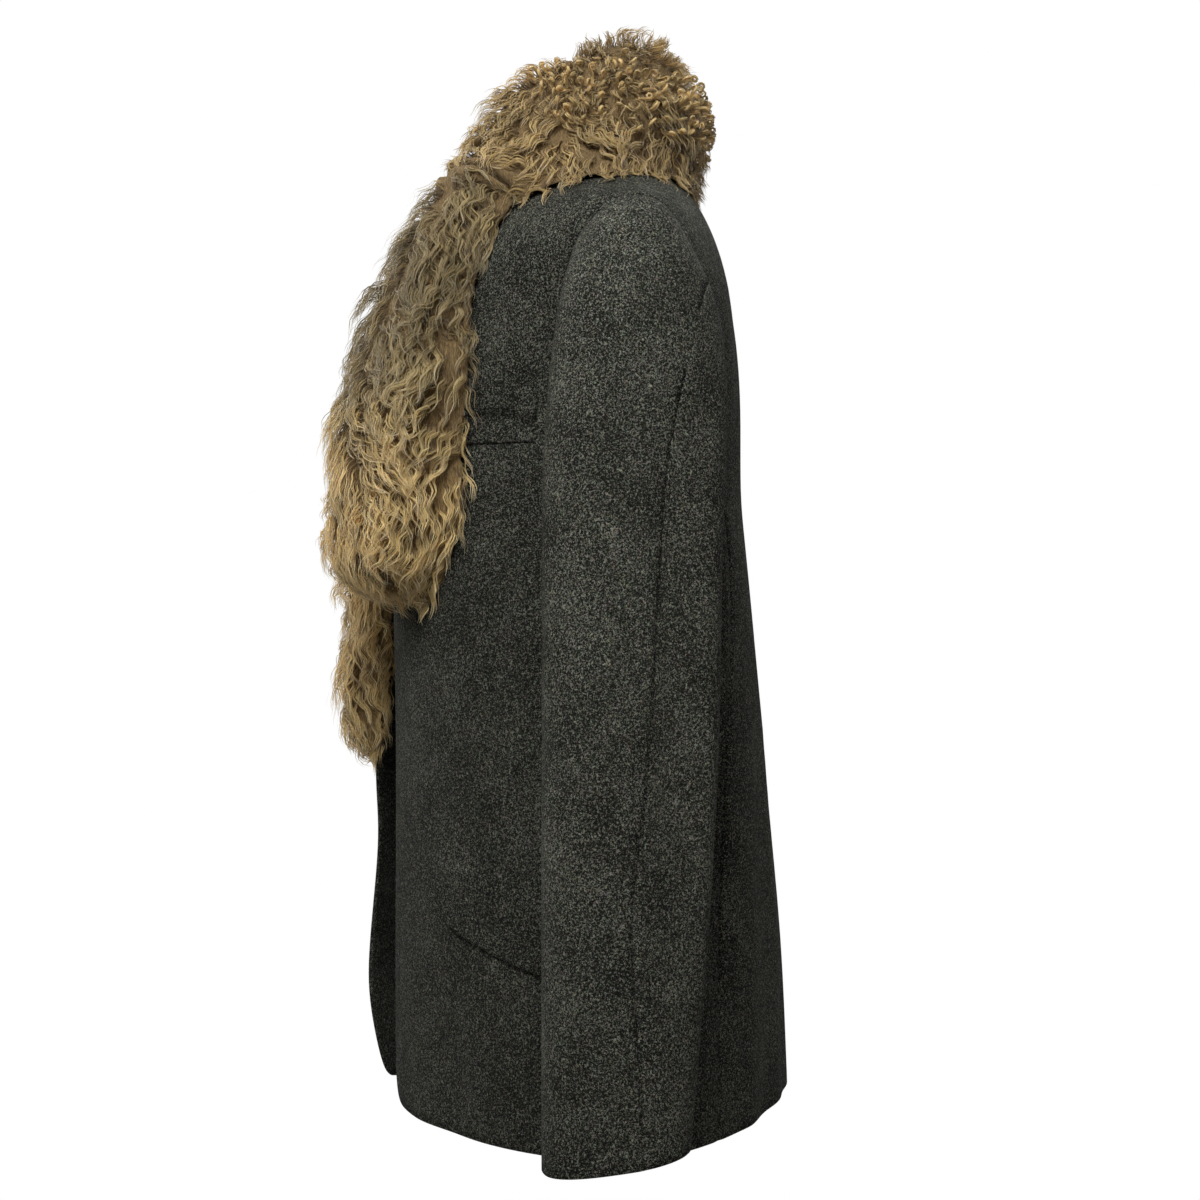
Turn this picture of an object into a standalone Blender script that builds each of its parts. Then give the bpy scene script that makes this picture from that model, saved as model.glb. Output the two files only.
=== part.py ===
"""Tweed jacket with a curly fur collar, in its hollow worn form.

Metres, +Z up.  The front looks along -Y and the wearer's left is +X.  The origin is the
middle of the neck opening, level with the neck ends of the shoulder seams.  Sizes below
are in millimetres, and MM turns them into metres where a mesh is made.

The body is a stack of rings.  A ring is named by its height at the neck: below the armpit
it is level, and above it sinks along the slope of the shoulder towards the arm.  A place
on a ring is an angle: 0 is the side, 90 the middle of the back, -90 the middle of the front.
"""
from math import acos, asin, cos, degrees, pi, radians, sin, sqrt

import bmesh
import bpy
from mathutils import Vector

MM = 0.001

# Cloth and sewing
CLOTH = 2.5            # wall of the napped tweed
SEAM = 0.5             # gap between two sewn pieces
CURVED_SEAM = 1.8      # gap on the curved seam between side and back
ARM_SEAM = 1.2         # gap on the sleeve's seams, whose walls lean together inside
GORGE_SEAM = 1.2       # gap between collar and lapels
SCYE_SEAM = 1.9        # the sleeve starts this far out from the armhole's facets
RIDGE_SEAM = 0.8       # gap on the shoulder seam
FLAP_LIFT = 0.7        # pocket pieces stand this far off the front
FUR_LIFT = 2.0         # the pelt stands this far off the cloth, clear of its flat facets
WELT_UNDER_FUR = 2.3   # further lift of the left lapel where it lies over the breast welt

# Shoulder and armhole
ARMPIT = -235.0
NECK_X = 72.0
SHOULDER_X = 195.0
SHOULDER_DROP = 48.0
RIDGE_Y = 5.0          # the shoulder seam lies this far behind the middle
CHEST_POWER = 2.4      # how squarely the chest turns in to the shoulder
BACK_POWER = 2.45
SCYE_BOTTOM = -238.0   # lowest point of the armhole
SCYE_FRONT = 48.0
SCYE_BACK = 54.0
SCYE_POWER = 0.85
TIP_LEAN = 45.0        # the armhole's lean inward, for a whole rise, near the shoulder tip
SIDE_FRONT_Y = -18.0   # seam between front and side piece
SIDE_BACK_TOP = -150.0  # ring where the side-back seam meets the armhole

# Neck, fronts and hem
NECK_BACK = 55.0       # depth of the back neckline
EDGE_X = 30.0          # front edge from the middle
BREAK = -290.0         # ring where the lapel starts to turn out
CORNER = 20.0          # rounding of the fronts' lower corners
FRONT_HEM = -666.0
BACK_HEM = -661.0
SIDE_DIP = 4.0

BODY_RINGS = (
    # ring, half width, front depth, back depth, squareness of the front and the back
    (-675.0, 207.0, 152.0, 138.0, 1.75, 1.60),
    (-560.0, 199.0, 152.0, 132.0, 1.85, 1.75),
    (-460.0, 189.0, 151.0, 122.0, 2.00, 1.95),
    (-360.0, 180.0, 151.0, 111.0, 2.20, 2.15),
    (-280.0, 171.5, 153.0, 103.0, 2.40, 2.20),
    (-235.0, 168.0, 155.0, 99.0, 2.40, 2.10),
)
UPPER_WIDTHS = (
    # share of the rise from the armpit to the shoulder seam, half width in front, at the back
    (0.0, 168.0, 168.0),
    (0.15, 169.0, 175.0),
    (0.3, 172.0, 186.0),
    (0.6, 184.0, 205.0),
    (0.85, 198.0, 214.0),
    (1.0, 200.0, 214.0),
)
SIDE_BACK_SEAM = (
    # ring, distance behind the middle
    (-675.0, 60.0),
    (-510.0, 66.0),
    (-400.0, 71.0),
    (-300.0, 76.0),
    (-235.0, 71.0),
    (-150.0, 56.0),
)
RIGHT_FRONT_BOW = (
    # ring, how far the free right edge stands forward
    (-675.0, 8.0),
    (-640.0, 12.0),
    (-598.0, 20.0),
    (-481.0, 12.0),
    (-429.0, 15.0),
    (-340.0, 8.0),
    (-250.0, 0.0),
)
BOW_END_X = 120.0      # the bow has died out here

# Sleeve
SLEEVE_RINGS = (
    # height, inner x, outer x, front y, back y, back seam angle, front seam angle
    (-262.0, 173.5, 246.0, -59.5, 58.0, 17.0, 200.0),
    (-330.0, 181.0, 257.0, -60.3, 55.5, 12.0, 198.0),
    (-400.0, 189.0, 266.0, -60.9, 52.0, 8.0, 196.0),
    (-500.0, 200.0, 277.0, -61.8, 45.0, -1.0, 192.0),
    (-560.0, 206.0, 282.0, -62.3, 39.0, 4.0, 190.0),
    (-660.0, 216.0, 289.0, -62.9, 29.0, 15.0, 188.0),
)
SLEEVE_POWER = 2.3
ARM_RADIUS = 50.0
SCYE_SEAM_BACK = 75.0   # angles on the armhole where the sleeve's two seams end
SCYE_SEAM_FRONT = 205.0
CUFF = -653.5
CUFF_TILT = 6.5         # the cuff hangs lower at the front
SLEEVE_GROOVE = (
    # height, depth of the soft trough along the back seam of the sleeve
    (-655.0, 0.0),
    (-480.0, 0.5),
    (-400.0, 3.0),
    (-260.0, 4.0),
    (-190.0, 2.0),
    (-150.0, 0.0),
)
GROOVE_HALF = 13.0

# Pocket pieces
WELT_RING = -192.0
WELT_HEIGHT = 26.0
WELT_FRONT_X = 95.0
WELT_SIDE_Y = -60.0
WELT_RISE = 4.0
FLAP_FRONT_X = 110.0
FLAP_BACK_Y = -26.0
FLAP_TOP_FRONT = -478.0
FLAP_TOP_BACK = -512.0
FLAP_DEPTH_FRONT = 48.0
FLAP_DEPTH_BACK = 54.0
FLAP_CORNER = 14.0

# Fur
LAPEL_LEFT = (
    # inner x, inner ring, outer x, outer ring, thickness of the fur
    (68.0, -46.0, 128.0, -24.0, 35.0),
    (62.0, -100.0, 138.0, -88.0, 38.0),
    (52.0, -165.0, 141.0, -165.0, 47.0),
    (40.0, -230.0, 132.0, -240.0, 50.0),
    (28.0, -272.0, 112.0, -300.0, 46.0),
    (26.0, -286.0, 101.0, -321.0, 34.0),
    (29.0, -294.0, 93.0, -329.0, 11.0),
)
LAPEL_RIGHT = (
    (68.0, -46.0, 128.0, -24.0, 35.0),
    (62.0, -110.0, 138.0, -100.0, 38.0),
    (52.0, -185.0, 141.0, -190.0, 42.0),
    (40.0, -255.0, 136.0, -265.0, 42.0),
    (26.0, -330.0, 124.0, -340.0, 38.0),
    (24.0, -385.0, 104.0, -385.0, 34.0),
    (28.0, -412.0, 80.0, -409.0, 26.0),
    (35.0, -427.0, 62.0, -424.0, 9.0),
)
LAPEL_OVERHANG = 7.0       # the fur reaches past the folded edge
COLLAR_STATIONS = (
    # foot x, y; throat x, y, z; crest x, y, z; swell x, y, z; fall x, y
    ((0.0, 46.0), (0.0, 22.0, 38.0), (0.0, 36.0, 96.0), (0.0, 80.0, 42.0), (0.0, 66.0)),
    ((50.0, 40.0), (37.0, 18.0, 38.0), (58.0, 30.0, 92.0), (84.0, 63.0, 36.0), (84.0, 52.0)),
    ((74.0, 5.0), (57.0, -2.0, 36.0), (84.0, -8.0, 87.0), (129.0, 2.0, 36.0), (140.0, 8.0)),
    ((73.0, -50.0), (54.0, -64.0, 12.0), (73.0, -76.0, 50.0), (117.0, -66.0, 14.0),
     (139.0, -38.0)),
)
FUR_FACETS = 9             # points across the pelt, and as many over the fur

# Facets of the pieces
FRONT_COLUMNS = 12
BODY_ROWS = 14
SHOULDER_ROWS = 10
SIDE_COLUMNS = 7
SIDE_ROWS = 16
NECK_COLUMNS = 4
BACK_COLUMNS = 8
CAP_ROWS = 8
ARM_ROWS = 13
TOP_SLEEVE_COLUMNS = 12
UNDER_SLEEVE_COLUMNS = 10

TWEED = (0.026, 0.028, 0.023, 1.0)
FUR = (0.170, 0.125, 0.060, 1.0)


def mix(low, high, share):
    """Value between two numbers, or point between two vectors."""
    return low + (high - low) * share


def along(table, key):
    """Smooth reading of a table by its first column; returns the other columns."""
    rows = sorted(table)
    key = min(max(key, rows[0][0]), rows[-1][0])
    index = max(i for i, row in enumerate(rows[:-1]) if row[0] <= key)
    near, far = rows[index], rows[index + 1]
    before = rows[max(index - 1, 0)]
    after = rows[min(index + 2, len(rows) - 1)]
    span = far[0] - near[0]
    t = (key - near[0]) / span
    values = []
    for column in range(1, len(near)):
        slope_in = (far[column] - before[column]) / (far[0] - before[0]) * span
        slope_out = (after[column] - near[column]) / (after[0] - near[0]) * span
        values.append(hermite(near[column], far[column], slope_in, slope_out, t))
    return values


def hermite(start, end, leave, arrive, t):
    """Cubic from start to end with the given slopes at its ends."""
    turned = 1.0 - t
    return (start * (turned * turned * (1.0 + 2.0 * t)) + leave * (turned * turned * t)
            + end * (t * t * (3.0 - 2.0 * t)) - arrive * (turned * t * t))


def through(points, t):
    """Point at t, from 0 to 1, on a smooth curve through the points."""
    place = min(t, 0.999999) * (len(points) - 1)
    index = int(place)
    near, far = points[index], points[index + 1]
    before = points[max(index - 1, 0)]
    after = points[min(index + 2, len(points) - 1)]
    return hermite(near, far, (far - before) / 2.0, (after - near) / 2.0, place - index)


def signed_power(value, power):
    return abs(value) ** power if value >= 0.0 else -abs(value) ** power


def slope_of_shoulder(x):
    """Height of the shoulder seam."""
    beyond = max(abs(x) - NECK_X, 0.0)
    return -SHOULDER_DROP * beyond / (SHOULDER_X - NECK_X)


def quarter(ring, behind):
    """Half width, depth, squareness and the middle's y of a ring's front or back half."""
    column = 2 if behind else 1
    if ring <= ARMPIT:
        sizes = along(BODY_RINGS, ring)
        return sizes[0], sizes[column], sizes[column + 2], 0.0
    rise = min(1.0 - ring / ARMPIT, 1.0)
    half = along(UPPER_WIDTHS, rise)[column - 1]
    power = BACK_POWER if behind else CHEST_POWER
    depth = BODY_RINGS[-1][column + 1] * (1.0 - rise ** power) ** (1.0 / power)
    return half, max(depth, 0.01), BODY_RINGS[-1][column + 3], RIDGE_Y * rise


def ring_height(ring, x):
    """Height that a ring has at x."""
    if ring <= ARMPIT:
        return ring
    return ARMPIT + (ring - ARMPIT) * (slope_of_shoulder(x) - ARMPIT) / -ARMPIT


def body_point(ring, angle, side=1):
    """Point on the outside of the jacket's body; side is 1 for the left, -1 for the right."""
    half, depth, power, middle = quarter(ring, angle > 0.0)
    turn = radians(angle)
    x = half * signed_power(cos(turn), 2.0 / power)
    y = middle + depth * signed_power(sin(turn), 2.0 / power)
    if side < 0 and angle < 0.0 and x < BOW_END_X:
        inward = (BOW_END_X - x) / (BOW_END_X - EDGE_X)
        y -= along(RIGHT_FRONT_BOW, ring)[0] * min(inward, 1.15) ** 2
    return Vector((side * x, y, ring_height(ring, x)))


def angle_at_y(ring, y):
    behind = y > RIDGE_Y * max(1.0 - ring / ARMPIT, 0.0)
    _, depth, power, middle = quarter(ring, behind)
    share = min(abs(y - middle) / depth, 1.0)
    return degrees(asin(share ** (power / 2.0))) * (1 if behind else -1)


def angle_at_x(ring, x, behind=False):
    half, _, power, _ = quarter(ring, behind)
    share = min(abs(x) / half, 1.0)
    return degrees(acos(share ** (power / 2.0))) * (1 if behind else -1)


def body_normal(ring, angle, side=1):
    """Outward direction on the body."""
    step = 0.4
    low, high = (ring - step, ring) if ring > -step else (ring - step, ring + step)
    across = body_point(ring, angle + step, side) - body_point(ring, angle - step, side)
    upward = body_point(high, angle, side) - body_point(low, angle, side)
    normal = across.cross(upward).normalized()
    return normal * side


def ring_at(x, y):
    """Ring of the shoulder or chest that passes through x, y seen from above."""
    low, high = ARMPIT, 0.0
    for _ in range(40):
        ring = (low + high) / 2.0
        behind = y > RIDGE_Y * (1.0 - ring / ARMPIT)
        half, depth, power, middle = quarter(ring, behind)
        reach = (abs(x) / half) ** power + (abs(y - middle) / depth) ** power
        if reach < 1.0:
            low = ring
        else:
            high = ring
    return low


def scye_angle(ring, y, behind):
    """Angle of a body piece's side edge: set by its y, and by its x near the shoulder tip."""
    angle = angle_at_y(ring, y)
    rise = 1.0 - ring / ARMPIT
    near = min(max((rise - 0.6) / 0.25, 0.0), 1.0)
    if near == 0.0:
        return angle
    x = SHOULDER_X - TIP_LEAN * (1.0 - rise)
    return mix(angle, angle_at_x(ring, x, behind), near)


def armhole(angle):
    """Ring and y of the armhole: 0 is its top, 90 its back, 180 its bottom, 270 its front."""
    turn = radians(angle)
    ring = SCYE_BOTTOM * (1.0 - cos(turn)) / 2.0
    middle = RIDGE_Y * (1.0 + cos(turn)) / 2.0
    width = SCYE_BACK if sin(turn) > 0.0 else -SCYE_FRONT
    return ring, middle + width * abs(sin(turn)) ** SCYE_POWER


def armhole_y(ring, back):
    turn = degrees(acos(max(1.0 - 2.0 * ring / SCYE_BOTTOM, -1.0)))
    return armhole(turn if back else 360.0 - turn)[1]


def armhole_angle_at_y(y):
    """Angle low on the armhole's front where it passes y."""
    low, high = 180.0, 250.0
    for _ in range(40):
        middle = (low + high) / 2.0
        if armhole(middle)[1] > y:
            low = middle
        else:
            high = middle
    return low


def front_side_y(ring):
    """Side edge of a front: its seam, then the armhole."""
    if ring < armhole(armhole_angle_at_y(SIDE_FRONT_Y))[0]:
        return SIDE_FRONT_Y - SEAM / 2.0
    return armhole_y(ring, False)


def back_side_y(ring):
    """Side edge of a back: its seam, then the armhole."""
    if ring < SIDE_BACK_TOP:
        return side_back_seam_y(ring) + CURVED_SEAM / 2.0
    return armhole_y(ring, True)


def side_back_seam_y(ring):
    """The side-back seam, led into the armhole at its upper end."""
    top = armhole_y(SIDE_BACK_TOP, True)
    table_y = along(SIDE_BACK_SEAM, ring)[0]
    near = max(1.0 - (SIDE_BACK_TOP - ring) / 60.0, 0.0)
    return table_y + (top - SIDE_BACK_SEAM[-1][1]) * near


def edge_x(ring):
    """Front edge, and above the break the line along which the lapel folds."""
    return EDGE_X if ring < BREAK else mix(EDGE_X, NECK_X, 1.0 - ring / BREAK)


def hem_ring(angle, from_edge=CORNER):
    """Hem height around the body, rising round the corner at a front edge."""
    turn = radians(angle)
    hem = mix(FRONT_HEM, BACK_HEM, (1.0 + sin(turn)) / 2.0) - SIDE_DIP * cos(turn) ** 2
    inside = max(CORNER - from_edge, 0.0)
    return hem + CORNER - sqrt(CORNER ** 2 - inside ** 2)


def front_rows(side):
    """Grid of a front from the hem up to the shoulder seam, front edge first."""
    rows = []
    shares = [(k / FRONT_COLUMNS) ** 1.35 for k in range(FRONT_COLUMNS + 1)]
    rings = [mix(FRONT_HEM, ARMPIT, k / BODY_ROWS) for k in range(BODY_ROWS)]
    for k in range(SHOULDER_ROWS + 1):
        rise = sin(pi / 2.0 * k / SHOULDER_ROWS) ** (2.0 / CHEST_POWER)
        rings.append(ARMPIT * (1.0 - rise))
    for number, ring in enumerate(rings):
        first = angle_at_x(ring, edge_x(ring))
        last = scye_angle(ring, front_side_y(ring), False)
        angles = [mix(first, last, share) for share in shares]
        row = []
        for angle in angles:
            place = ring
            if ring < ARMPIT:
                start = body_point(ring, first)
                from_edge = (body_point(ring, angle) - start).length
                lift = hem_ring(angle, from_edge) - FRONT_HEM
                place += lift * (1.0 - number / BODY_ROWS) ** 3
            row.append(body_point(place, angle, side))
        if number == len(rings) - 1:
            for point in row:
                point.y -= RIDGE_SEAM / 2.0
        rows.append(row)
    return rows


def side_rows(side):
    """Grid of the piece under the arm: Coons patch between its seams, hem and armhole."""
    front_end = armhole_angle_at_y(SIDE_FRONT_Y + SEAM / 2.0)
    back_end = degrees(acos(1.0 - 2.0 * SIDE_BACK_TOP / SCYE_BOTTOM))
    tops = [armhole(mix(front_end, back_end, k / SIDE_COLUMNS))
            for k in range(SIDE_COLUMNS + 1)]
    tops[-1] = (tops[-1][0], tops[-1][1] - CURVED_SEAM / 2.0)
    front_y = SIDE_FRONT_Y + SEAM / 2.0
    rows = []
    for level in range(SIDE_ROWS + 1):
        v = level / SIDE_ROWS
        row = []
        for column, top in enumerate(tops):
            u = column / SIDE_COLUMNS
            hem_back = side_back_seam_y(FRONT_HEM) - CURVED_SEAM / 2.0
            foot = Vector((mix(front_y, hem_back, u), FRONT_HEM))
            head = Vector((top[1], top[0]))
            left = Vector((front_y, mix(FRONT_HEM, tops[0][0], v)))
            right_ring = mix(FRONT_HEM, tops[-1][0], v)
            right_y = side_back_seam_y(right_ring) - CURVED_SEAM / 2.0
            right = Vector((right_y, right_ring))
            flat = (mix(Vector((front_y, FRONT_HEM)), Vector((hem_back, FRONT_HEM)), u)
                    * (1.0 - v)
                    + mix(Vector((tops[0][1], tops[0][0])),
                          Vector((tops[-1][1], tops[-1][0])), u) * v)
            y, ring = mix(foot, head, v) + mix(left, right, u) - flat
            angle = angle_at_y(ring, y)
            ring += (hem_ring(angle) - FRONT_HEM) * (1.0 - v) ** 3
            row.append(body_point(ring, angle, side))
        rows.append(row)
    return rows


def neck_rise(share):
    """Share of the rise at which a column near the back's middle meets the neckline."""
    low, high = 0.5, 1.0
    for _ in range(40):
        rise = (low + high) / 2.0
        ring = ARMPIT * (1.0 - rise)
        angle = mix(90.0, scye_angle(ring, back_side_y(ring), True), share)
        point = body_point(ring, angle)
        if (point.x / NECK_X) ** 2 + ((point.y - RIDGE_Y) / NECK_BACK) ** 2 > 1.0:
            low = rise
        else:
            high = rise
    return high


def back_rows(side):
    """Grid of a back from the hem up to the neckline and the shoulder seam."""
    tip = angle_at_x(0.0, SHOULDER_X, True)
    neck_share = (90.0 - angle_at_x(0.0, NECK_X, True)) / (90.0 - tip)
    shares = [neck_share * k / NECK_COLUMNS for k in range(NECK_COLUMNS)]
    shares += [mix(neck_share, 1.0, k / BACK_COLUMNS) for k in range(BACK_COLUMNS + 1)]
    tops = [neck_rise(share) if share < neck_share else 1.0 for share in shares]
    rows = []
    for level in range(BODY_ROWS + SHOULDER_ROWS + 1):
        row = []
        for share, top in zip(shares, tops):
            if level < BODY_ROWS:
                ring = mix(BACK_HEM, ARMPIT, level / BODY_ROWS)
            else:
                climb = (level - BODY_ROWS) / SHOULDER_ROWS
                full = pi / 2.0 if top == 1.0 else asin(top ** (BACK_POWER / 2.0))
                ring = ARMPIT * (1.0 - sin(full * climb) ** (2.0 / BACK_POWER))
            last = scye_angle(ring, back_side_y(ring), True)
            angle = mix(90.0, last, share)
            if ring < ARMPIT:
                ring += (hem_ring(angle) - BACK_HEM) * (1.0 - level / BODY_ROWS) ** 3
            point = body_point(ring, angle, side)
            if share == 0.0:
                point.x = side * SEAM / 2.0
            if top == 1.0 and level == BODY_ROWS + SHOULDER_ROWS:
                point.y += RIDGE_SEAM / 2.0
            row.append(point)
        rows.append(row)
    return rows


def sleeve_ring_point(height, angle):
    """Point on a level ring of the left sleeve: 0 is outward, 90 back, 180 inward."""
    inner, outer, front, back = along(SLEEVE_RINGS, height)[:4]
    turn = radians(angle)
    x = signed_power(cos(turn), 2.0 / SLEEVE_POWER) * (outer - inner) / 2.0
    y = signed_power(sin(turn), 2.0 / SLEEVE_POWER) * (back - front) / 2.0
    return Vector(((inner + outer) / 2.0 + x, (front + back) / 2.0 + y, height))


def sleeve_cap_point(share, angle):
    """Point between the armhole (share 0) and the first level ring (share 1)."""
    ring, y = armhole(angle)
    edge = scye_angle(ring, y, 0.0 < angle % 360.0 < 180.0)
    start = body_point(ring, edge) + Vector((SCYE_SEAM, 0.0, 0.0))
    top_height = SLEEVE_RINGS[0][0]
    end = sleeve_ring_point(top_height, angle)
    reach = (end - start).length
    turn = radians(angle)
    upness = (1.0 + cos(turn)) / 2.0
    leave = Vector((0.25 + 0.70 * upness ** 0.6, 0.30 * sin(turn),
                    0.62 * upness ** 0.8 - 1.0)).normalized()
    arrive = (sleeve_ring_point(top_height - 20.0, angle) - end).normalized()
    return hermite(start, end, leave * reach * 0.9, arrive * reach * 0.95, share)


def sleeve_seams(row):
    """Angles of the sleeve's back and front seam on a row of its grid."""
    back, front = along(SLEEVE_RINGS, sleeve_row_height(row))[4:]
    if row >= CAP_ROWS:
        return back, front
    share = row / CAP_ROWS
    ease = 1.0 - (1.0 - share) ** 2
    return mix(SCYE_SEAM_BACK, back, ease), mix(SCYE_SEAM_FRONT, front, ease)


def sleeve_row_height(row):
    """Nominal height of a row of the sleeve's grid below its cap."""
    return mix(SLEEVE_RINGS[0][0], CUFF, max(row - CAP_ROWS, 0) / ARM_ROWS)


def sleeve_rows(side, under):
    """Grid of the top or the under sleeve, from the armhole down to the cuff."""
    columns = UNDER_SLEEVE_COLUMNS if under else TOP_SLEEVE_COLUMNS
    rows = []
    for number in range(CAP_ROWS + ARM_ROWS + 1):
        back, front = sleeve_seams(number)
        first, last = (back, front) if under else (back, front - 360.0)
        gap = degrees(ARM_SEAM / 2.0 / ARM_RADIUS) * (1 if under else -1)
        row = []
        for column in range(columns + 1):
            angle = mix(first + gap, last - gap, column / columns)
            if number < CAP_ROWS:
                point = sleeve_cap_point(number / CAP_ROWS, angle)
            else:
                height = sleeve_row_height(number)
                drop = (number - CAP_ROWS) / ARM_ROWS
                height += CUFF_TILT * sin(radians(angle)) * drop ** 3
                point = sleeve_ring_point(height, angle)
            point -= groove(point, angle - back)
            row.append(Vector((side * point.x, point.y, point.z)))
        rows.append(row)
    return rows


def groove(point, turn):
    """Inward push of the soft trough beside the sleeve's back seam."""
    depth = along(SLEEVE_GROOVE, point.z)[0]
    inner, outer, front, back = along(SLEEVE_RINGS, point.z)[:4]
    outward = Vector((point.x - (inner + outer) / 2.0, point.y - (front + back) / 2.0, 0.0))
    across = radians(turn) * outward.length
    shape = max(1.0 - (across / (2.0 * GROOVE_HALF)) ** 2, 0.0) ** 2
    return outward.normalized() * depth * shape


def pocket_row(first, last, columns, place, lift, side):
    """One row of a piece that lies on a front, its points taken from the front."""
    row = []
    for column in range(columns + 1):
        share = column / columns
        ring = place(share)
        angle = mix(first, last, share)
        row.append(body_point(ring, angle, side) + body_normal(ring, angle, side) * lift)
    return row


def welt_rows():
    """Grid of the breast welt on the left front."""
    first = angle_at_x(WELT_RING, WELT_FRONT_X)
    last = angle_at_y(WELT_RING, WELT_SIDE_Y)
    rows = []
    for level in range(4):
        height = WELT_RING + WELT_HEIGHT * (level / 3.0 - 0.5)
        rows.append(pocket_row(first, last, 7, lambda share: height + WELT_RISE * share,
                               FLAP_LIFT + CLOTH, 1))
    return rows


def flap_rows(side):
    """Grid of a slanting hip flap with a round lower corner at each end."""
    first = angle_at_x(FLAP_TOP_FRONT, FLAP_FRONT_X)
    last = angle_at_y(FLAP_TOP_BACK, FLAP_BACK_Y)
    middle = (FLAP_TOP_FRONT + FLAP_TOP_BACK) / 2.0
    length = (body_point(middle, first) - body_point(middle, last)).length

    def place(share, level):
        from_end = min(share, 1.0 - share) * length
        inside = max(FLAP_CORNER - from_end, 0.0)
        depth = mix(FLAP_DEPTH_FRONT, FLAP_DEPTH_BACK, share)
        depth -= FLAP_CORNER - sqrt(FLAP_CORNER ** 2 - inside ** 2)
        return mix(FLAP_TOP_FRONT, FLAP_TOP_BACK, share) - depth * level

    return [pocket_row(first, last, 12, lambda share: place(share, level / 4.0),
                       FLAP_LIFT + CLOTH, side) for level in range(5)]


def on_body(point):
    """The same place seen from above, lifted off the shoulder or the chest."""
    side = 1 if point.x >= 0.0 else -1
    ring = ring_at(point.x, point.y)
    behind = point.y > RIDGE_Y * (1.0 - ring / ARMPIT)
    angle = angle_at_x(ring, point.x, behind)
    foot = Vector((point.x, point.y, ring_height(ring, point.x)))
    return foot + body_normal(ring, angle, side) * FUR_LIFT


def welt_under_fur(ring, angle, side):
    """Further lift of the left lapel near the breast welt."""
    if side < 0:
        return 0.0
    above = abs(ring - WELT_RING) - WELT_HEIGHT / 2.0 - WELT_RISE
    ahead = angle_at_x(WELT_RING, WELT_FRONT_X) - angle
    near = max(1.0 - max(above, 0.0) / 16.0, 0.0) * max(1.0 - max(ahead, 0.0) / 7.0, 0.0)
    return WELT_UNDER_FUR * sin(near * pi / 2.0) ** 2


def lapel_loop(row, side):
    """Closed section of a lapel: the pelt outward, then back over the fur."""
    inner_x, inner_ring, outer_x, outer_ring, thickness = row
    pelt, fur = [], []
    for k in range(FUR_FACETS):
        share = k / (FUR_FACETS - 1)
        ring = mix(inner_ring, outer_ring, share)
        first = angle_at_x(ring, inner_x - LAPEL_OVERHANG)
        last = angle_at_x(ring, outer_x)
        angle = mix(first, last, share)
        normal = body_normal(ring, angle, side)
        lift = FUR_LIFT + welt_under_fur(ring, angle, side)
        foot = body_point(ring, angle, side) + normal * lift
        pile = (1.0 - abs(2.0 * share - 1.0) ** 3.0) ** (1.0 / 3.0)
        pelt.append(foot)
        fur.append(foot + normal * (3.0 + thickness * pile))
    return pelt + fur[::-1]


def lapel_loops(side):
    """Sections of a lapel from the gorge down to its free end."""
    rows = LAPEL_LEFT if side > 0 else LAPEL_RIGHT
    table = [(k, *row) for k, row in enumerate(rows)]
    steps = 4 * (len(table) - 1)
    last = len(table) - 1
    loops = []
    for k in range(steps + 1):
        place = last * k / steps
        row = along(table, place)
        loops.append(lapel_loop(row, side))
    return loops


def collar_section(station, side):
    """Closed section of the collar: along its base outward, then back over the fur."""
    foot, throat, crest, swell, fall = [
        Vector((side * point[0], *point[1:])) for point in station]
    base = [on_body(mix(foot, fall, k / (FUR_FACETS - 1)).to_3d()) for k in range(FUR_FACETS)]
    over = [base[-1], swell, crest, throat, base[0]]
    rim = Vector((0.0, 0.0, 3.0))
    top = [through(over, k / (FUR_FACETS - 1)) for k in range(FUR_FACETS)]
    top[0] += rim
    top[-1] += rim
    return base + top


def collar_loops():
    """Sections of the collar from the right gorge round the back to the left gorge."""
    gorge = {}
    for side in (1, -1):
        row = list(LAPEL_LEFT[0])
        row[1] += GORGE_SEAM
        row[3] += GORGE_SEAM
        gorge[side] = lapel_loop(row, side)
    controls = [gorge[-1]]
    controls += [collar_section(station, -1) for station in COLLAR_STATIONS[:0:-1]]
    controls.append(collar_section(COLLAR_STATIONS[0], 1))
    controls += [collar_section(station, 1) for station in COLLAR_STATIONS[1:]]
    controls.append(gorge[1])
    steps = (len(controls) - 1) * 4
    loops = []
    for k in range(steps + 1):
        loop = [through([control[i] for control in controls], k / steps)
                for i in range(2 * FUR_FACETS)]
        if 0 < k < steps:
            loop[:FUR_FACETS] = [on_body(point) for point in loop[:FUR_FACETS]]
        loops.append(loop)
    loops[-1] = gorge[1]
    return loops


def material(name, colour, roughness):
    made = bpy.data.materials.new(name)
    made.use_nodes = True
    shader = made.node_tree.nodes["Principled BSDF"]
    shader.inputs["Base Color"].default_value = colour
    shader.inputs["Roughness"].default_value = roughness
    shader.inputs["Metallic"].default_value = 0.0
    return made


def add_object(name, mesh_builder, colour, roughness, collection):
    """Object from a bmesh, shaded smooth, with its own material."""
    mesh = bpy.data.meshes.new(name)
    mesh_builder.to_mesh(mesh)
    mesh_builder.free()
    mesh.shade_smooth()
    mesh.materials.append(material(name, colour, roughness))
    made = bpy.data.objects.new(name, mesh)
    collection.objects.link(made)
    return made


def skin(rows, closed):
    """Loft between rows of points; closed joins each row's ends."""
    builder = bmesh.new()
    grid = [[builder.verts.new(point * MM) for point in row] for row in rows]
    for lower, upper in zip(grid, grid[1:]):
        count = len(lower)
        for k in range(count if closed else count - 1):
            after = (k + 1) % count
            builder.faces.new((lower[k], lower[after], upper[after], upper[k]))
    return builder, grid


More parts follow.
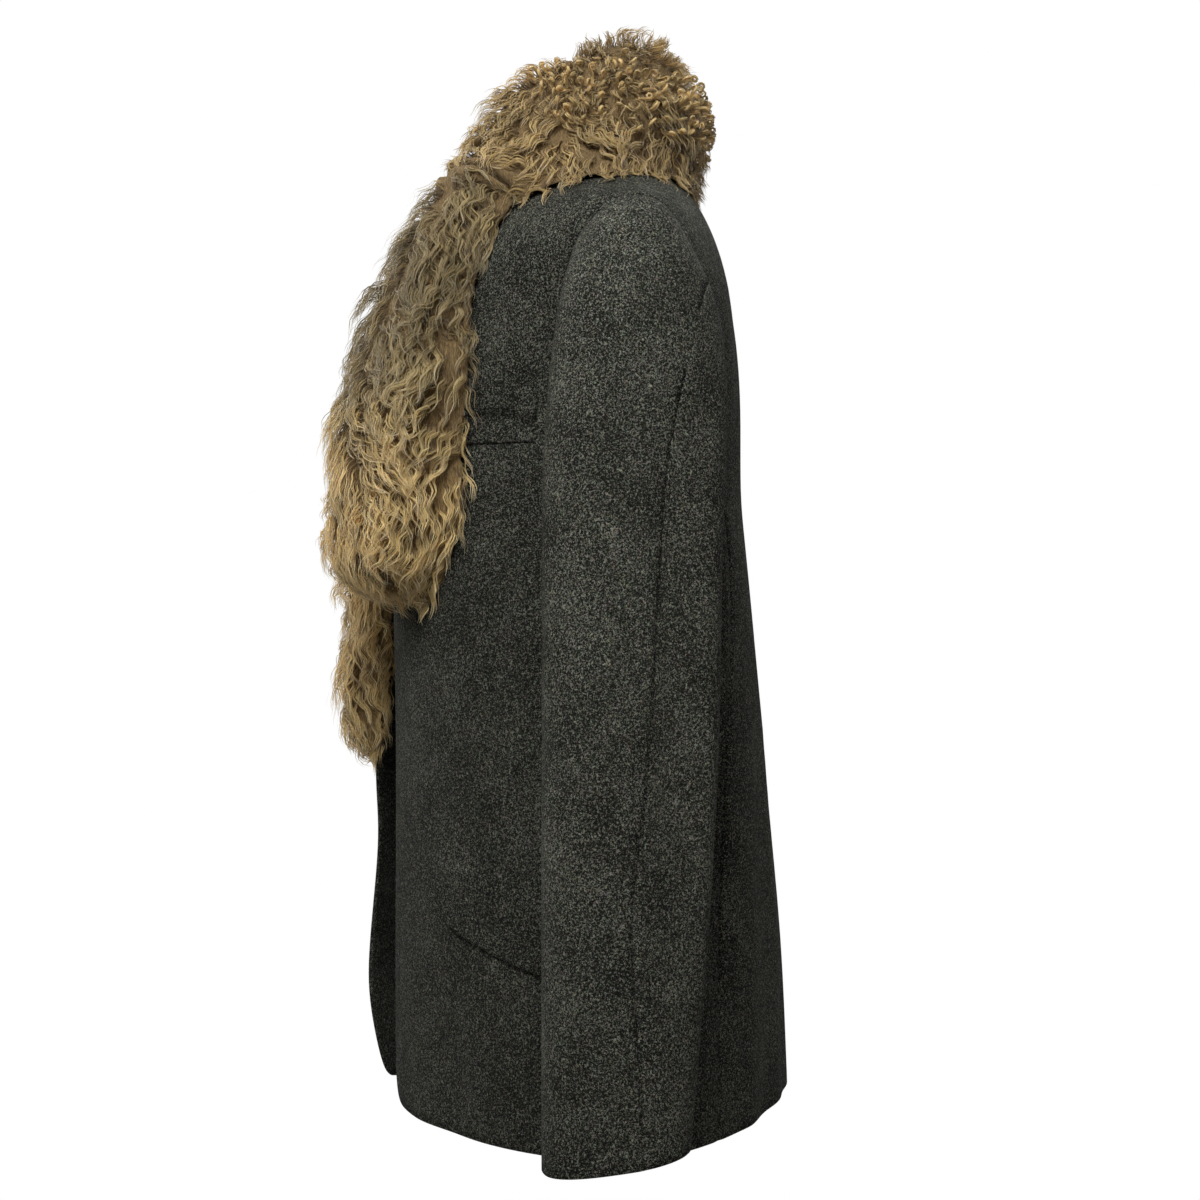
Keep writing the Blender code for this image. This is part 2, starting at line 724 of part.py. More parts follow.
def cloth_piece(name, rows, middle, collection, wall=CLOTH):
    """A cut piece of tweed: its outside is the loft, and its wall grows inward."""
    builder, _ = skin(rows, closed=False)
    builder.normal_update()
    facing = sum((face.calc_center_median() - middle * MM).dot(face.normal)
                 for face in builder.faces)
    if facing < 0.0:
        bmesh.ops.reverse_faces(builder, faces=builder.faces)
    made = add_object(name, builder, TWEED, 0.95, collection)
    wall_modifier = made.modifiers.new("wall", 'SOLIDIFY')
    wall_modifier.thickness = wall * MM
    wall_modifier.offset = -1.0
    wall_modifier.use_even_offset = True
    return made


def fur_piece(name, loops, collection):
    """A solid as deep as the fur stands."""
    builder, grid = skin(loops, closed=True)
    builder.faces.new(grid[0][::-1])
    builder.faces.new(grid[-1])
    if builder.calc_volume(signed=True) < 0.0:
        bmesh.ops.reverse_faces(builder, faces=builder.faces)
    return add_object(name, builder, FUR, 1.0, collection)


def main():
    for old in list(bpy.data.objects):
        bpy.data.objects.remove(old, do_unlink=True)
    jacket = bpy.data.collections.new("tweed_jacket")
    bpy.context.scene.collection.children.link(jacket)

    body_middle = Vector((0.0, 0.0, -300.0))
    for side, word in ((1, "left"), (-1, "right")):
        arm_middle = Vector((side * 232.0, -6.0, -400.0))
        cloth_piece("front_" + word, front_rows(side), body_middle, jacket)
        cloth_piece("side_" + word, side_rows(side), body_middle, jacket)
        cloth_piece("back_" + word, back_rows(side), body_middle, jacket)
        cloth_piece("sleeve_top_" + word, sleeve_rows(side, False), arm_middle, jacket)
        cloth_piece("sleeve_under_" + word, sleeve_rows(side, True), arm_middle, jacket)
        cloth_piece("pocket_flap_" + word, flap_rows(side), body_middle, jacket)
        fur_piece("fur_lapel_" + word, lapel_loops(side), jacket)
    cloth_piece("breast_welt", welt_rows(), body_middle, jacket)
    fur_piece("fur_collar", collar_loops(), jacket)


main()
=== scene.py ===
"""Looks of a tweed jacket with a curly fur collar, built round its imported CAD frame.

Lengths in the tables are millimetres, and MM turns them into metres.  The jacket's own left is
+X, and its front looks along -Y.
"""
from math import cos, pi, radians, sin

import bmesh
import bpy
import numpy as np
from bpy.props import FloatProperty, FloatVectorProperty, IntProperty, PointerProperty
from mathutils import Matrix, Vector
from mathutils.bvhtree import BVHTree


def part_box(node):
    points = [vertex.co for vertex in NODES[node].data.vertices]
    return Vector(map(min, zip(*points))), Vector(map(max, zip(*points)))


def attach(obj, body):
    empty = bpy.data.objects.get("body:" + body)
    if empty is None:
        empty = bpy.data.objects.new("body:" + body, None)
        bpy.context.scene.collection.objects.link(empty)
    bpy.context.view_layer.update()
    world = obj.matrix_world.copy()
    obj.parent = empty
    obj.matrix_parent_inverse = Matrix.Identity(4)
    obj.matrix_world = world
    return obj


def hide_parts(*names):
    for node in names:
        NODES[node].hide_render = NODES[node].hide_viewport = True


bl_info = {
    "name": "Tweed jacket with fur collar",
    "version": (1, 0, 0),
    "blender": (4, 5, 0),
    "location": "3D View > Sidebar > Jacket",
    "description": "Cloth, sewing and curly fur of a jacket on its CAD frame",
    "category": "Object",
}

MM = 0.001
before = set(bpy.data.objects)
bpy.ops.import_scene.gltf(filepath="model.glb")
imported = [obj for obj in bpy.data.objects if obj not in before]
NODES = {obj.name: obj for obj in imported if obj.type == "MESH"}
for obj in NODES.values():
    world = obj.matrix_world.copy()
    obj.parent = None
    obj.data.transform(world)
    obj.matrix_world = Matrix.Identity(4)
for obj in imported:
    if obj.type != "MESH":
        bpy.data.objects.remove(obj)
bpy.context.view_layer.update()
SIDES = ((1, "left"), (-1, "right"))

# Lines that the body and the arms wrap round; cloth is pushed out from them or in to them.
BODY_CORE = ((0.0, 0.0, -680.0), (0.0, 0.0, -240.0))
ARM_CORE = ((196.0, 0.0, -130.0), (254.0, -18.0, -660.0))

CLOTH_PIECES = (
    # name, held, rests on, cut width, cut length, cut area in square metres
    ("front", "hung", "side", 241.0, 746.0, 0.139),
    ("side", "hung", "front", 141.0, 518.0, 0.0443),
    ("back", "hung", "front", 234.0, 708.0, 0.111),
    ("sleeve_top", "hung", "front", 299.0, 632.0, 0.0853),
    ("sleeve_under", "hung", "side", 200.0, 603.0, 0.0756),
    ("pocket_flap", "laid", "front", 152.0, 53.0, 0.0065),
)
WELT_STANDS = 3.8       # how far the welt's upper edge stands off the front
WELT_SUNK = 2.2         # how far the rest of the welt is pressed into it
FLAP_SUNK = 2.1         # how far a flap is pressed into its front
FLAP_SEAM = (2.3, 7.0)  # depth to which a flap's top edge is sewn down, and height of that strip
FRONT_PAINTED_SHADE = 0.74        # painted shade: the yarns of the fronts and pockets are painted darker than the sleeves' by this

SEAMS = (
    # piece, piece, widest gap between them in the frame, depth of the valley, lowest height
    ("front", "side", 1.0, 0.9, -700.0),
    ("side", "back", 3.5, 0.9, -700.0),
    ("front", "back", 1.2, 0.6, -700.0),
    ("sleeve_top", "sleeve_under", 1.6, 0.5, -700.0),
    ("front", "sleeve_top", 3.0, 1.0, -250.0),
    ("front", "sleeve_under", 3.0, 1.0, -250.0),
    ("side", "sleeve_under", 3.0, 1.0, -250.0),
    ("back", "sleeve_top", 3.0, 1.0, -250.0),
    ("back", "sleeve_under", 3.0, 1.0, -250.0),
)
CUFF_SLIT = (-585.0, -505.0, 1.1)    # lowest and highest point, depth: closed, hind seam only
SEAM_REACH = 8.0        # how far from a seam the cloth dips
SEAM_TUCK = 0.16        # how far two sewn pieces run into each other

CREASES = {
    # side (0 is both), start, bend and end points, half width, depth (minus is a ridge);
    # the points are written for the left side and mirrored for the right
    "arm": (
        (0, (266, -20, -150), (272, -6, -250), (276, -16, -372), 17, 1.6),
        (0, (250, 34, -200), (268, 24, -360), (276, 26, -560), 18, 8.5),
        (0, (252, -34, -220), (266, -30, -360), (276, -32, -500), 16, -1.2),
        (0, (238, 52, -210), (256, 50, -400), (268, 42, -600), 8, -2.2),
        (0, (220, -58, -330), (250, -56, -372), (272, -40, -392), 9, 1.8),
        (0, (226, -58, -392), (252, -56, -424), (276, -38, -436), 8, 1.4),
        (1, (262, 30, -470), (282, 6, -520), (286, -14, -604), 14, 1.4),
        (-1, (258, 34, -440), (276, 14, -520), (284, 2, -590), 15, 1.6),
        (0, (246, -46, -470), (272, -40, -540), (284, -30, -620), 15, -1.1),
        (0, (200, 50, -240), (214, 56, -300), (222, 50, -380), 11, 1.6),
        (0, (206, -54, -190), (224, -52, -230), (244, -40, -262), 9, 1.2),
    ),
    "body": (
        (0, (154, 58, -230), (168, 64, -450), (178, 72, -640), 13, 5.0),
        (0, (92, 104, -330), (104, 116, -480), (116, 126, -655), 24, 2.6),
        (1, (44, 112, -400), (50, 130, -530), (56, 138, -655), 18, 1.8),
        (-1, (52, 112, -380), (60, 130, -520), (70, 138, -655), 20, 2.2),
        (0, (128, 96, -420), (140, 104, -540), (150, 110, -655), 13, -1.6),
        (1, (150, -84, -240), (156, -88, -330), (160, -96, -440), 15, 1.6),
        (-1, (146, -88, -250), (150, -94, -350), (158, -100, -450), 15, 1.6),
        (1, (112, -128, -520), (124, -126, -590), (130, -122, -655), 22, 1.8),
        (-1, (104, -132, -530), (118, -130, -590), (126, -126, -655), 20, 1.8),
        (0, (70, 92, -96), (98, 92, -150), (110, 100, -230), 18, 1.8),
        (0, (150, 70, -120), (140, 82, -170), (120, 98, -215), 13, 1.6),
        (0, (60, -150, -560), (80, -148, -600), (90, -146, -655), 20, -1.4),
    ),
}
HEM_CREASE = -650.0     # a crease that ends below this height runs out at the hem

DENTS = {
    # hollows between the fur's tufts: centre, radius, depth
    "fur_collar": (
        (96, 24, 64, 13, 9.0), (92, 42, 54, 12, 9.0), (84, 58, 66, 11, 7.0),
        (-94, 30, 62, 13, 8.0), (-82, 56, 54, 12, 7.0), (0, 80, 62, 15, 6.0),
        (126, -36, 8, 11, 5.0), (104, -78, 10, 10, 5.0),
    ),
    "fur_lapel_left": (
        (122, -122, -42, 13, 9.0), (136, -132, -120, 10, 6.0), (120, -160, -172, 11, 6.0),
        (112, -168, -236, 11, 6.0),
    ),
    "fur_lapel_right": (
        (-118, -126, -70, 12, 6.0), (-116, -160, -190, 12, 6.0), (-96, -180, -290, 12, 6.0),
    ),
}
FUR_PIECES = (
    # piece, locks, length of a lock, root depth under the surface, paler by, random seed
    ("fur_collar", 1620, 33.0, 12.0, 0.13, 11),
    ("fur_lapel_left", 900, 40.0, 13.0, -0.13, 12),
    ("fur_lapel_right", 900, 40.0, 13.0, -0.13, 13),
)
GUIDE_STEPS = 10
LOCK_RADIUS = 4.6
LOCK_SPACING = 4.6      # least distance between two locks' roots
RINGLET_SPACING = 5.5
TUFT_SPACING = 20.0     # tufts of many locks lie this far apart at least
MOST_TUFTS = 600
PARTING = 4.2           # how far the fur sinks between two tufts
PARTING_WIDTH = 0.26    # half width of a parting, as a share of the tufts' distance
FUR_EDGE = 2.6          # no lock grows nearer to the cloth
FUR_RISE = 1.0          # the locks' backs lie this far over the frame's fur
RINGLETS_SUNK = 2.5     # where the ringlets stand, the locks lie this much deeper
FLYAWAY = 6.0           # how far the loosest tips stand off
LOCK_CLEAR = 2.0        # least height of a lock's middle line over the cloth
STRAND_CLEAR = 1.2      # least height of a strand over the cloth
WOOL_SUNK = 8.5         # how deep under the locks the matted wool may lie
WOOL_EDGE = (3.0, 16.0)     # it is drawn in between these distances from the next fur piece
FUR_THROUGH = 0.35      # share of the light that goes through a strand
COLLAR_TINT = (1.04, 0.985, 0.92)   # the collar's fur is warmer than the lapels'
WOOL_TINT = (1.06, 0.95, 0.84)      # so is the wool under the locks
NEAR_CELLS = [(dx, dy, dz) for dx in (-1, 0, 1) for dy in (-1, 0, 1) for dz in (-1, 0, 1)]

FLOOR = -760.0
CAMERA_PLACE = (1.5614, -0.1641, -0.310)            # in metres, as are the lights
CAMERA_TURN = (radians(90.0), 0.0, radians(84.0))
CAMERA_LENS = 64.35
LIGHTS = (
    # name, place, target, size, setting that gives the power, share of it
    ("key", (0.95, -0.31, 0.62), (0.1, 0.0, -0.12), 0.55, "key", 1.0),
    ("front", (-0.85, -1.15, 0.50), (0.0, -0.1, -0.15), 0.8, "fill", 1.55),
    ("back", (-1.3, 0.9, 1.1), (0.0, 0.0, -0.30), 1.2, "fill", 1.5),
)


def smooth(low, high, value):
    """Smooth step of a number or an array from 0 at low to 1 at high."""
    share = np.clip((value - low) / (high - low), 0.0, 1.0)
    return share * share * (3.0 - 2.0 * share)


# -------- settings


class JACKET_PG_tweed(bpy.types.PropertyGroup):
    dark: FloatVectorProperty(
        name="Dark yarn", description="Colour of the charcoal yarn", subtype='COLOR',
        size=3, default=(0.0040, 0.0044, 0.0035), min=0.0, max=1.0)
    middle: FloatVectorProperty(
        name="Middle yarn", description="Colour of the olive grey yarn", subtype='COLOR',
        size=3, default=(0.0130, 0.0140, 0.0112), min=0.0, max=1.0)
    pale: FloatVectorProperty(
        name="Pale fibres", description="Colour of the pale fibres", subtype='COLOR',
        size=3, default=(0.300, 0.303, 0.243), min=0.0, max=1.0)
    crease: FloatProperty(
        name="Creases", description="Share of the creases' depth", subtype='FACTOR',
        default=1.3, min=0.0, max=2.0)


class JACKET_PG_fur(bpy.types.PropertyGroup):
    root: FloatVectorProperty(
        name="Root", description="Colour deep in the fur", subtype='COLOR',
        size=3, default=(0.145, 0.089, 0.036), min=0.0, max=1.0)
    body: FloatVectorProperty(
        name="Lock", description="Colour along a lock", subtype='COLOR',
        size=3, default=(0.49, 0.372, 0.172), min=0.0, max=1.0)
    tip: FloatVectorProperty(
        name="Tip", description="Colour of the sunlit tips", subtype='COLOR',
        size=3, default=(0.80, 0.69, 0.49), min=0.0, max=1.0)
    strands: IntProperty(
        name="Strands in a lock", description="Fine strands that make one lock",
        default=10, min=1, max=16)
    strand_width: FloatProperty(
        name="Strand width", description="Widest part of a strand", subtype='DISTANCE',
        default=0.92 * MM, min=0.2 * MM, max=4.0 * MM)
    wave: FloatProperty(
        name="Wave", description="Sideways reach of a lock's waves", subtype='DISTANCE',
        default=2.3 * MM, min=0.0, max=8.0 * MM)
    ringlets: IntProperty(
        name="Ringlets", description="Tight glossy ringlets on the collar",
        default=330, min=0, max=600)


class JACKET_PG_stage(bpy.types.PropertyGroup):
    key: FloatProperty(
        name="Key light", description="Power of the large light over the left shoulder",
        subtype='POWER', default=18.3, min=0.0)
    fill: FloatProperty(
        name="Fill light", description="Power that the front and back lights are set from",
        subtype='POWER', default=10.0, min=0.0)
    sky: FloatProperty(
        name="Surroundings", description="Strength of the even light", default=0.32, min=0.0)


# -------- meshes


def subdivided(name, levels, sewn_to=None):
    """The frame node's mesh, finer: round free edges, sharp ones where another is sewn."""
    builder = bmesh.new()
    builder.from_mesh(NODES[name].data)
    bmesh.ops.remove_doubles(builder, verts=builder.verts, dist=0.01 * MM)
    bmesh.ops.join_triangles(
        builder, faces=builder.faces, angle_face_threshold=radians(35.0),
        angle_shape_threshold=radians(70.0))
    if sewn_to is not None:
        layer = builder.edges.layers.float.new("crease_edge")
        for edge in builder.edges:
            if edge.calc_face_angle(0.0) > radians(55.0):
                middle = (edge.verts[0].co + edge.verts[1].co) / 2.0
                near = any(tree.find_nearest(middle, 3.2 * MM)[0] for tree in sewn_to)
                edge[layer] = 1.0 if near else 0.55
    rough = bpy.data.meshes.new("rough")
    builder.to_mesh(rough)
    builder.free()
    holder = bpy.data.objects.new("holder", rough)
    bpy.context.scene.collection.objects.link(holder)
    finer = holder.modifiers.new("finer", 'SUBSURF')
    finer.levels = levels
    finer.render_levels = levels
    graph = bpy.context.evaluated_depsgraph_get()
    made = bpy.data.meshes.new_from_object(holder.evaluated_get(graph))
    bpy.data.objects.remove(holder, do_unlink=True)
    bpy.data.meshes.remove(rough)
    return made


def rows_of(items, key, kind=np.float64):
    """Three numbers of every item, as rows."""
    flat = np.empty(len(items) * 3, dtype=kind)
    items.foreach_get(key, flat)
    return flat.reshape(-1, 3)


def points_of(mesh):
    return rows_of(mesh.vertices, "co")


def set_points(mesh, points):
    mesh.vertices.foreach_set("co", points.ravel())
    mesh.update()


def tree_of(meshes, keep=None):
    """One search tree over several meshes, or over those of their faces that keep picks."""
    corners, faces = [], []
    for mesh in meshes:
        start = len(corners)
        corners.extend(v.co.copy() for v in mesh.vertices)
        faces.extend([start + k for k in face.vertices] for face in mesh.polygons
                     if keep is None or keep(face))
    return BVHTree.FromPolygons(corners, faces)


def frame_tree(names, keep=None):
    return tree_of([NODES[name].data for name in names], keep)


def add_piece(name, mesh, material, slot, replaced=None):
    """Object on the root body, which may stand for a frame node."""
    mesh.name = name
    mesh.materials.clear()
    mesh.materials.append(material)
    if slot == "tweed":
        mesh.shade_smooth()
        mesh.set_sharp_from_angle(angle=radians(48.0))
    made = bpy.data.objects.new(name, mesh)
    bpy.context.scene.collection.objects.link(made)
    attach(made, "root")
    if replaced:
        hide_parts(replaced)
    return made


def outward_from(points, core, side):
    """Unit vectors from the core line to the points."""
    start, end = (np.array(place) * (side, 1.0, 1.0) * MM for place in core)
    run = end - start
    share = np.clip(((points - start) @ run) / (run @ run), 0.0, 1.0)
    away = points - (start + share[:, None] * run)
    return away / np.maximum(np.linalg.norm(away, axis=1, keepdims=True), 1e-9)


def crease_depth(points, part, side, forms):
    """How far the creases of the body or an arm push each point in."""
    depth = np.zeros(len(points))
    shares = np.linspace(0.0, 1.0, 25)[:, None]
    for only, start, bend, end, half, deep in CREASES[part]:
        for hand in ((1, -1) if only == 0 else (only,)):
            if part == "arm" and hand != side:
                continue
            a, b, c = (np.array(place, float) * (hand, 1.0, 1.0) for place in (start, bend, end))
            line = (a * (1 - shares) ** 2 + b * 2 * shares * (1 - shares) + c * shares ** 2) * MM
            line = np.array([forms[part, hand].find_nearest(Vector(place))[0] for place in line])
            gaps = np.linalg.norm(points[:, None, :] - line[None], axis=2)
            nearest = gaps.argmin(axis=1)
            along = shares[nearest, 0]
            reach = gaps[np.arange(len(points)), nearest] / (half * MM)
            taper = np.sin(pi * np.clip(along * 0.92 + 0.04, 0.0, 1.0)) ** 0.7
            if end[2] < HEM_CREASE:
                taper = np.sin(pi / 2.0 * along) ** 0.8
            depth += deep * MM * taper * np.exp(-reach ** 2)
    return depth


# -------- materials


class Nodes:
    """Short way to add and join the nodes of one tree."""

    def __init__(self, tree):
        self.tree = tree

    def fill(self, node, values):
        """Sets a node's inputs, or joins them to other nodes' outputs."""
        for key, value in values.items():
            if isinstance(value, bpy.types.NodeSocket):
                self.tree.links.new(value, node.inputs[key])
            else:
                node.inputs[key].default_value = value

    def add(self, kind, values=None, **settings):
        node = self.tree.nodes.new(kind)
        for key, value in settings.items():
            setattr(node, key, value)
        self.fill(node, values or {})
        return node

    def math(self, operation, first, second=0.0):
        return self.add("ShaderNodeMath", {0: first, 1: second},
                        operation=operation).outputs[0]

    def blend(self, share, first, second, kind='MIX'):
        return self.add("ShaderNodeMix", {0: share, 6: first, 7: second},
                        data_type='RGBA', blend_type=kind).outputs[2]

    def ramp(self, value, low, high):
        """0 below low, 1 above high."""
        return self.add("ShaderNodeMapRange",
                        {"Value": value, "From Min": low, "From Max": high},
                        interpolation_type='SMOOTHSTEP').outputs[0]

    def between(self, value, low, high):
        """low where the value is 0, high where it is 1."""
        return self.add("ShaderNodeMapRange",
                        {"Value": value, "To Min": low, "To Max": high}).outputs[0]

    def noise(self, place, scale, detail, **more):
        return self.add("ShaderNodeTexNoise",
                        {"Vector": place, "Scale": scale, "Detail": detail, **more}).outputs

    def bump(self, height, strength, distance):
        return self.add("ShaderNodeBump", {"Height": height, "Strength": strength,
                                           "Distance": distance}).outputs[0]

    def surface(self, share, first, second):
        """Shows a mix of two shaders."""
        mixed = self.add("ShaderNodeMixShader", {0: share, 1: first, 2: second}).outputs[0]
        self.fill(self.tree.nodes["Material Output"], {"Surface": mixed})


def rgba(colour, share=1.0):
    return (*(part * share for part in colour), 1.0)


def new_material(name):
    """A material, its nodes and its shader."""
    made = bpy.data.materials.new(name)
    made.use_nodes = True
    return made, Nodes(made.node_tree), made.node_tree.nodes["Principled BSDF"]


def tweed_group():
    """Felted tweed: dark and grey yarns under a haze of pale fibres."""
    tree = bpy.data.node_groups.new("tweed_weave", 'ShaderNodeTree')
    for name, way, kind in (("Dark", 'INPUT', "Color"), ("Middle", 'INPUT', "Color"),
                            ("Pale", 'INPUT', "Color"), ("Pale amount", 'INPUT', "Float"),
                            ("Colour", 'OUTPUT', "Color"), ("Height", 'OUTPUT', "Float")):
        tree.interface.new_socket(name, in_out=way, socket_type="NodeSocket" + kind)
    nodes = Nodes(tree)
    given = nodes.add("NodeGroupInput").outputs
    place = nodes.add("ShaderNodeTexCoord").outputs["Object"]
    grain = nodes.noise(place, 620.0, 3.0, Roughness=0.7)["Fac"]
    clouds = nodes.noise(place, 26.0, 4.0, Roughness=0.6)["Fac"]
    drift = nodes.math('MULTIPLY', nodes.math('SUBTRACT', clouds, 0.5), 0.16)
    yarn = nodes.math('ADD', grain, drift)
    colour = nodes.blend(nodes.ramp(yarn, 0.40, 0.62), given["Dark"], given["Middle"])
    hairs = None
    for scale, seed, width in ((540.0, 0.0, 0.058), (700.0, 3.7, 0.066), (910.0, 8.1, 0.075)):
        moved = nodes.add("ShaderNodeVectorMath", {0: place, 1: (seed, seed * 2.0, seed * 3.0)},
                          operation='ADD').outputs[0]
        curl = nodes.noise(moved, scale, 1.0, Distortion=0.7)["Fac"]
        off = nodes.math('ABSOLUTE', nodes.math('SUBTRACT', curl, 0.5))
        line = nodes.math('SUBTRACT', 1.0, nodes.ramp(off, 0.015, width))
        cuts = nodes.math('ADD', nodes.noise(moved, scale * 1.1, 1.0)["Fac"], drift)
        hair = nodes.math('MULTIPLY', line, nodes.ramp(cuts, 0.49, 0.68))
        hairs = hair if hairs is None else nodes.math('MAXIMUM', hairs, hair)
    amount = nodes.math('MULTIPLY', hairs, given["Pale amount"])
    colour = nodes.blend(amount, colour, given["Pale"])
    tint = nodes.noise(place, 310.0, 1.0)["Color"]
    colour = nodes.blend(0.18, colour, nodes.blend(1.0, colour, tint, 'OVERLAY'))
    height = nodes.math('ADD', nodes.math('MULTIPLY', yarn, 0.7),
                        nodes.math('MULTIPLY', hairs, 0.5))
    nodes.add("NodeGroupOutput", {"Colour": colour, "Height": height})
    return tree


def tweed_material(name, settings, painted_shade=1.0):
    """Matt napped tweed, whose yarns and fibres the last argument darkens as painted shade."""
    made, nodes, shader = new_material(name)
    group = bpy.data.node_groups.get("tweed_weave") or tweed_group()
    weave = nodes.add("ShaderNodeGroup", node_tree=group)
    nodes.fill(weave, {"Dark": rgba(settings.dark, painted_shade), "Middle": rgba(settings.middle, painted_shade),
                       "Pale": rgba(settings.pale, painted_shade), "Pale amount": 0.95})
    nodes.fill(shader, {
        "Base Color": weave.outputs["Colour"],
        "Normal": nodes.bump(weave.outputs["Height"], 0.8, 0.9 * MM),
        "Roughness": 0.95, "Specular IOR Level": 0.08, "Sheen Weight": 0.012,
        "Sheen Roughness": 0.55, "Sheen Tint": (0.75, 0.76, 0.70, 1.0)})
    return made


def fur_material(name, settings, gloss=0.55, tint=(1.0, 1.0, 1.0)):
    """Fur whose colour runs from root to tip and changes from lock to lock."""
    root, body, tip = (rgba(np.multiply(colour, tint)) for colour in
                       (settings.root, settings.body, settings.tip))
    made, nodes, shader = new_material(name)
    strand = nodes.add("ShaderNodeAttribute", attribute_name="strand").outputs["Color"]
    reach, tone, lock = nodes.add("ShaderNodeSeparateColor", {"Color": strand}).outputs
    colour = nodes.blend(nodes.ramp(reach, 0.10, 0.52), root, body)
    tips = nodes.math('MULTIPLY', nodes.ramp(reach, 0.62, 1.0),
                      nodes.math('ADD', nodes.math('MULTIPLY', tone, 0.6), 0.15))
    colour = nodes.blend(tips, colour, tip)
    # the lock's mark brings painted light low down and painted shade on the far lapel
    both = nodes.math('MULTIPLY', nodes.between(lock, 0.50, 1.75),
                      nodes.between(tone, 0.78, 1.18))
    grey = nodes.add("ShaderNodeCombineColor", {"Red": both, "Green": both, "Blue": both})
    colour = nodes.blend(1.0, colour, grey.outputs[0], 'MULTIPLY')
    nodes.fill(shader, {
        "Base Color": colour, "Roughness": gloss, "Specular IOR Level": 0.3,
        "Subsurface Weight": 0.35, "Subsurface Radius": (1.0, 0.7, 0.4),
        "Subsurface Scale": 3.0 * MM, "Sheen Weight": 0.2, "Sheen Roughness": 0.5})
    paler = nodes.blend(0.3, colour, (0.46, 0.39, 0.29, 1.0))
    through = nodes.add("ShaderNodeBsdfTranslucent", {"Color": paler}).outputs[0]
    nodes.surface(FUR_THROUGH, shader.outputs[0], through)
    return made


def underfur_material(settings):
    """Dark matted wool between the locks, painted paler lower down: painted light, as on the
    locks.
    """
    body = np.multiply(settings.body, WOOL_TINT)
    made, nodes, shader = new_material("underfur")
    place = nodes.add("ShaderNodeTexCoord").outputs["Object"]
    drawn = nodes.add("ShaderNodeMapping", {"Vector": place, "Scale": (900.0, 900.0, 150.0)})
    wool = nodes.noise(drawn.outputs[0], 1.0, 4.0, Roughness=0.65, Distortion=1.5)["Fac"]
    height = nodes.add("ShaderNodeSeparateXYZ", {0: place}).outputs["Z"]
    # painted light: the wool is painted darker up high and paler lower down, like the locks
    wool_lit_low = nodes.blend(nodes.ramp(height, -0.12, -0.24), rgba(body, 0.6), rgba(body, 0.95))
    colour = nodes.blend(nodes.ramp(wool, 0.35, 0.68), rgba(settings.root), wool_lit_low)
    nodes.fill(shader, {"Base Color": colour, "Normal": nodes.bump(wool, 1.0, 3.0 * MM),
                        "Roughness": 0.9})
    return made


# -------- cloth


def cloth_names():
    return [f"{row[0]}_{word}" for row in CLOTH_PIECES for _, word in SIDES]


def neighbours(name):
    """Pieces sewn to this one, with the gap, the valley's depth and the seam's lowest point."""
    kind, word = name.rsplit("_", 1)
    found = []
    for first, second, gap, valley, lowest in SEAMS:
        if kind in (first, second):
            other = second if kind == first else first
            found.append((f"{other}_{word}", gap, valley, lowest))
    if kind == "back":
        found.append((f"back_{'right' if word == 'left' else 'left'}", 0.9, 0.7, -700.0))
    return found


def seam_depth(point, valley, in_sleeve):
    """Depth of the valley at a seam, with the closed slit above a cuff, in millimetres."""
    deep = valley * (1.0 - 0.8 * smooth(-0.16, -0.05, point.z))
    if in_sleeve:
        deep *= 1.0 - smooth(-0.19, -0.15, point.z)
        if point.y > -0.012:
            low, high, slit = CUFF_SLIT
            height = point.z / MM
            deep += slit * (smooth(low, low + 20.0, height) * smooth(high, high - 20.0, height))
    return deep


def draw_together(points, away, trees, name):
    """Closes the seams: moves the edges towards the pieces sewn there and sinks them."""
    moved = points.copy()
    reach = SEAM_REACH * MM
    for other, gap, valley, lowest in neighbours(name):
        low, high = (np.array(corner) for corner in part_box(other))
        close = np.all((points > low - reach) & (points < high + reach), axis=1)
        close &= points[:, 2] > lowest * MM
        in_sleeve = name.startswith("sleeve") and other.startswith("sleeve")
        for index in np.nonzero(close)[0]:
            point = Vector(points[index])
            place, _, _, distance = trees[other].find_nearest(point, reach)
            if place is None or distance < 1e-7:
                continue
            share = min(max((reach - distance) / (reach - gap * MM), 0.0), 1.0)
            step = (min(gap * MM, distance) + SEAM_TUCK * MM) / 2.0
            moved[index] += np.array((place - point) / distance * step * share ** 2)
            deep = seam_depth(point, valley, in_sleeve)
            moved[index] -= away[index] * deep * MM * share ** 4
    return moved


def below_top(name, points):
    """How far each point lies under the top edge of its pocket piece."""
    corners = points_of(NODES[name].data)
    rows = np.linspace(corners[:, 1].min(), corners[:, 1].max(), 14)
    heights = [corners[np.abs(corners[:, 1] - row) < 5.0 * MM][:, 2].max() for row in rows]
    return np.interp(points[:, 1], rows, heights) - points[:, 2]


def press_flap(points, away, name):
    """Presses a flap into its front and sinks its top edge into the seam."""
    depth, strip = FLAP_SEAM
    sewn = depth * MM * (1.0 - smooth(0.0, strip * MM, below_top(name, points)))
    return points - away * sewn[:, None] - away * FLAP_SUNK * MM


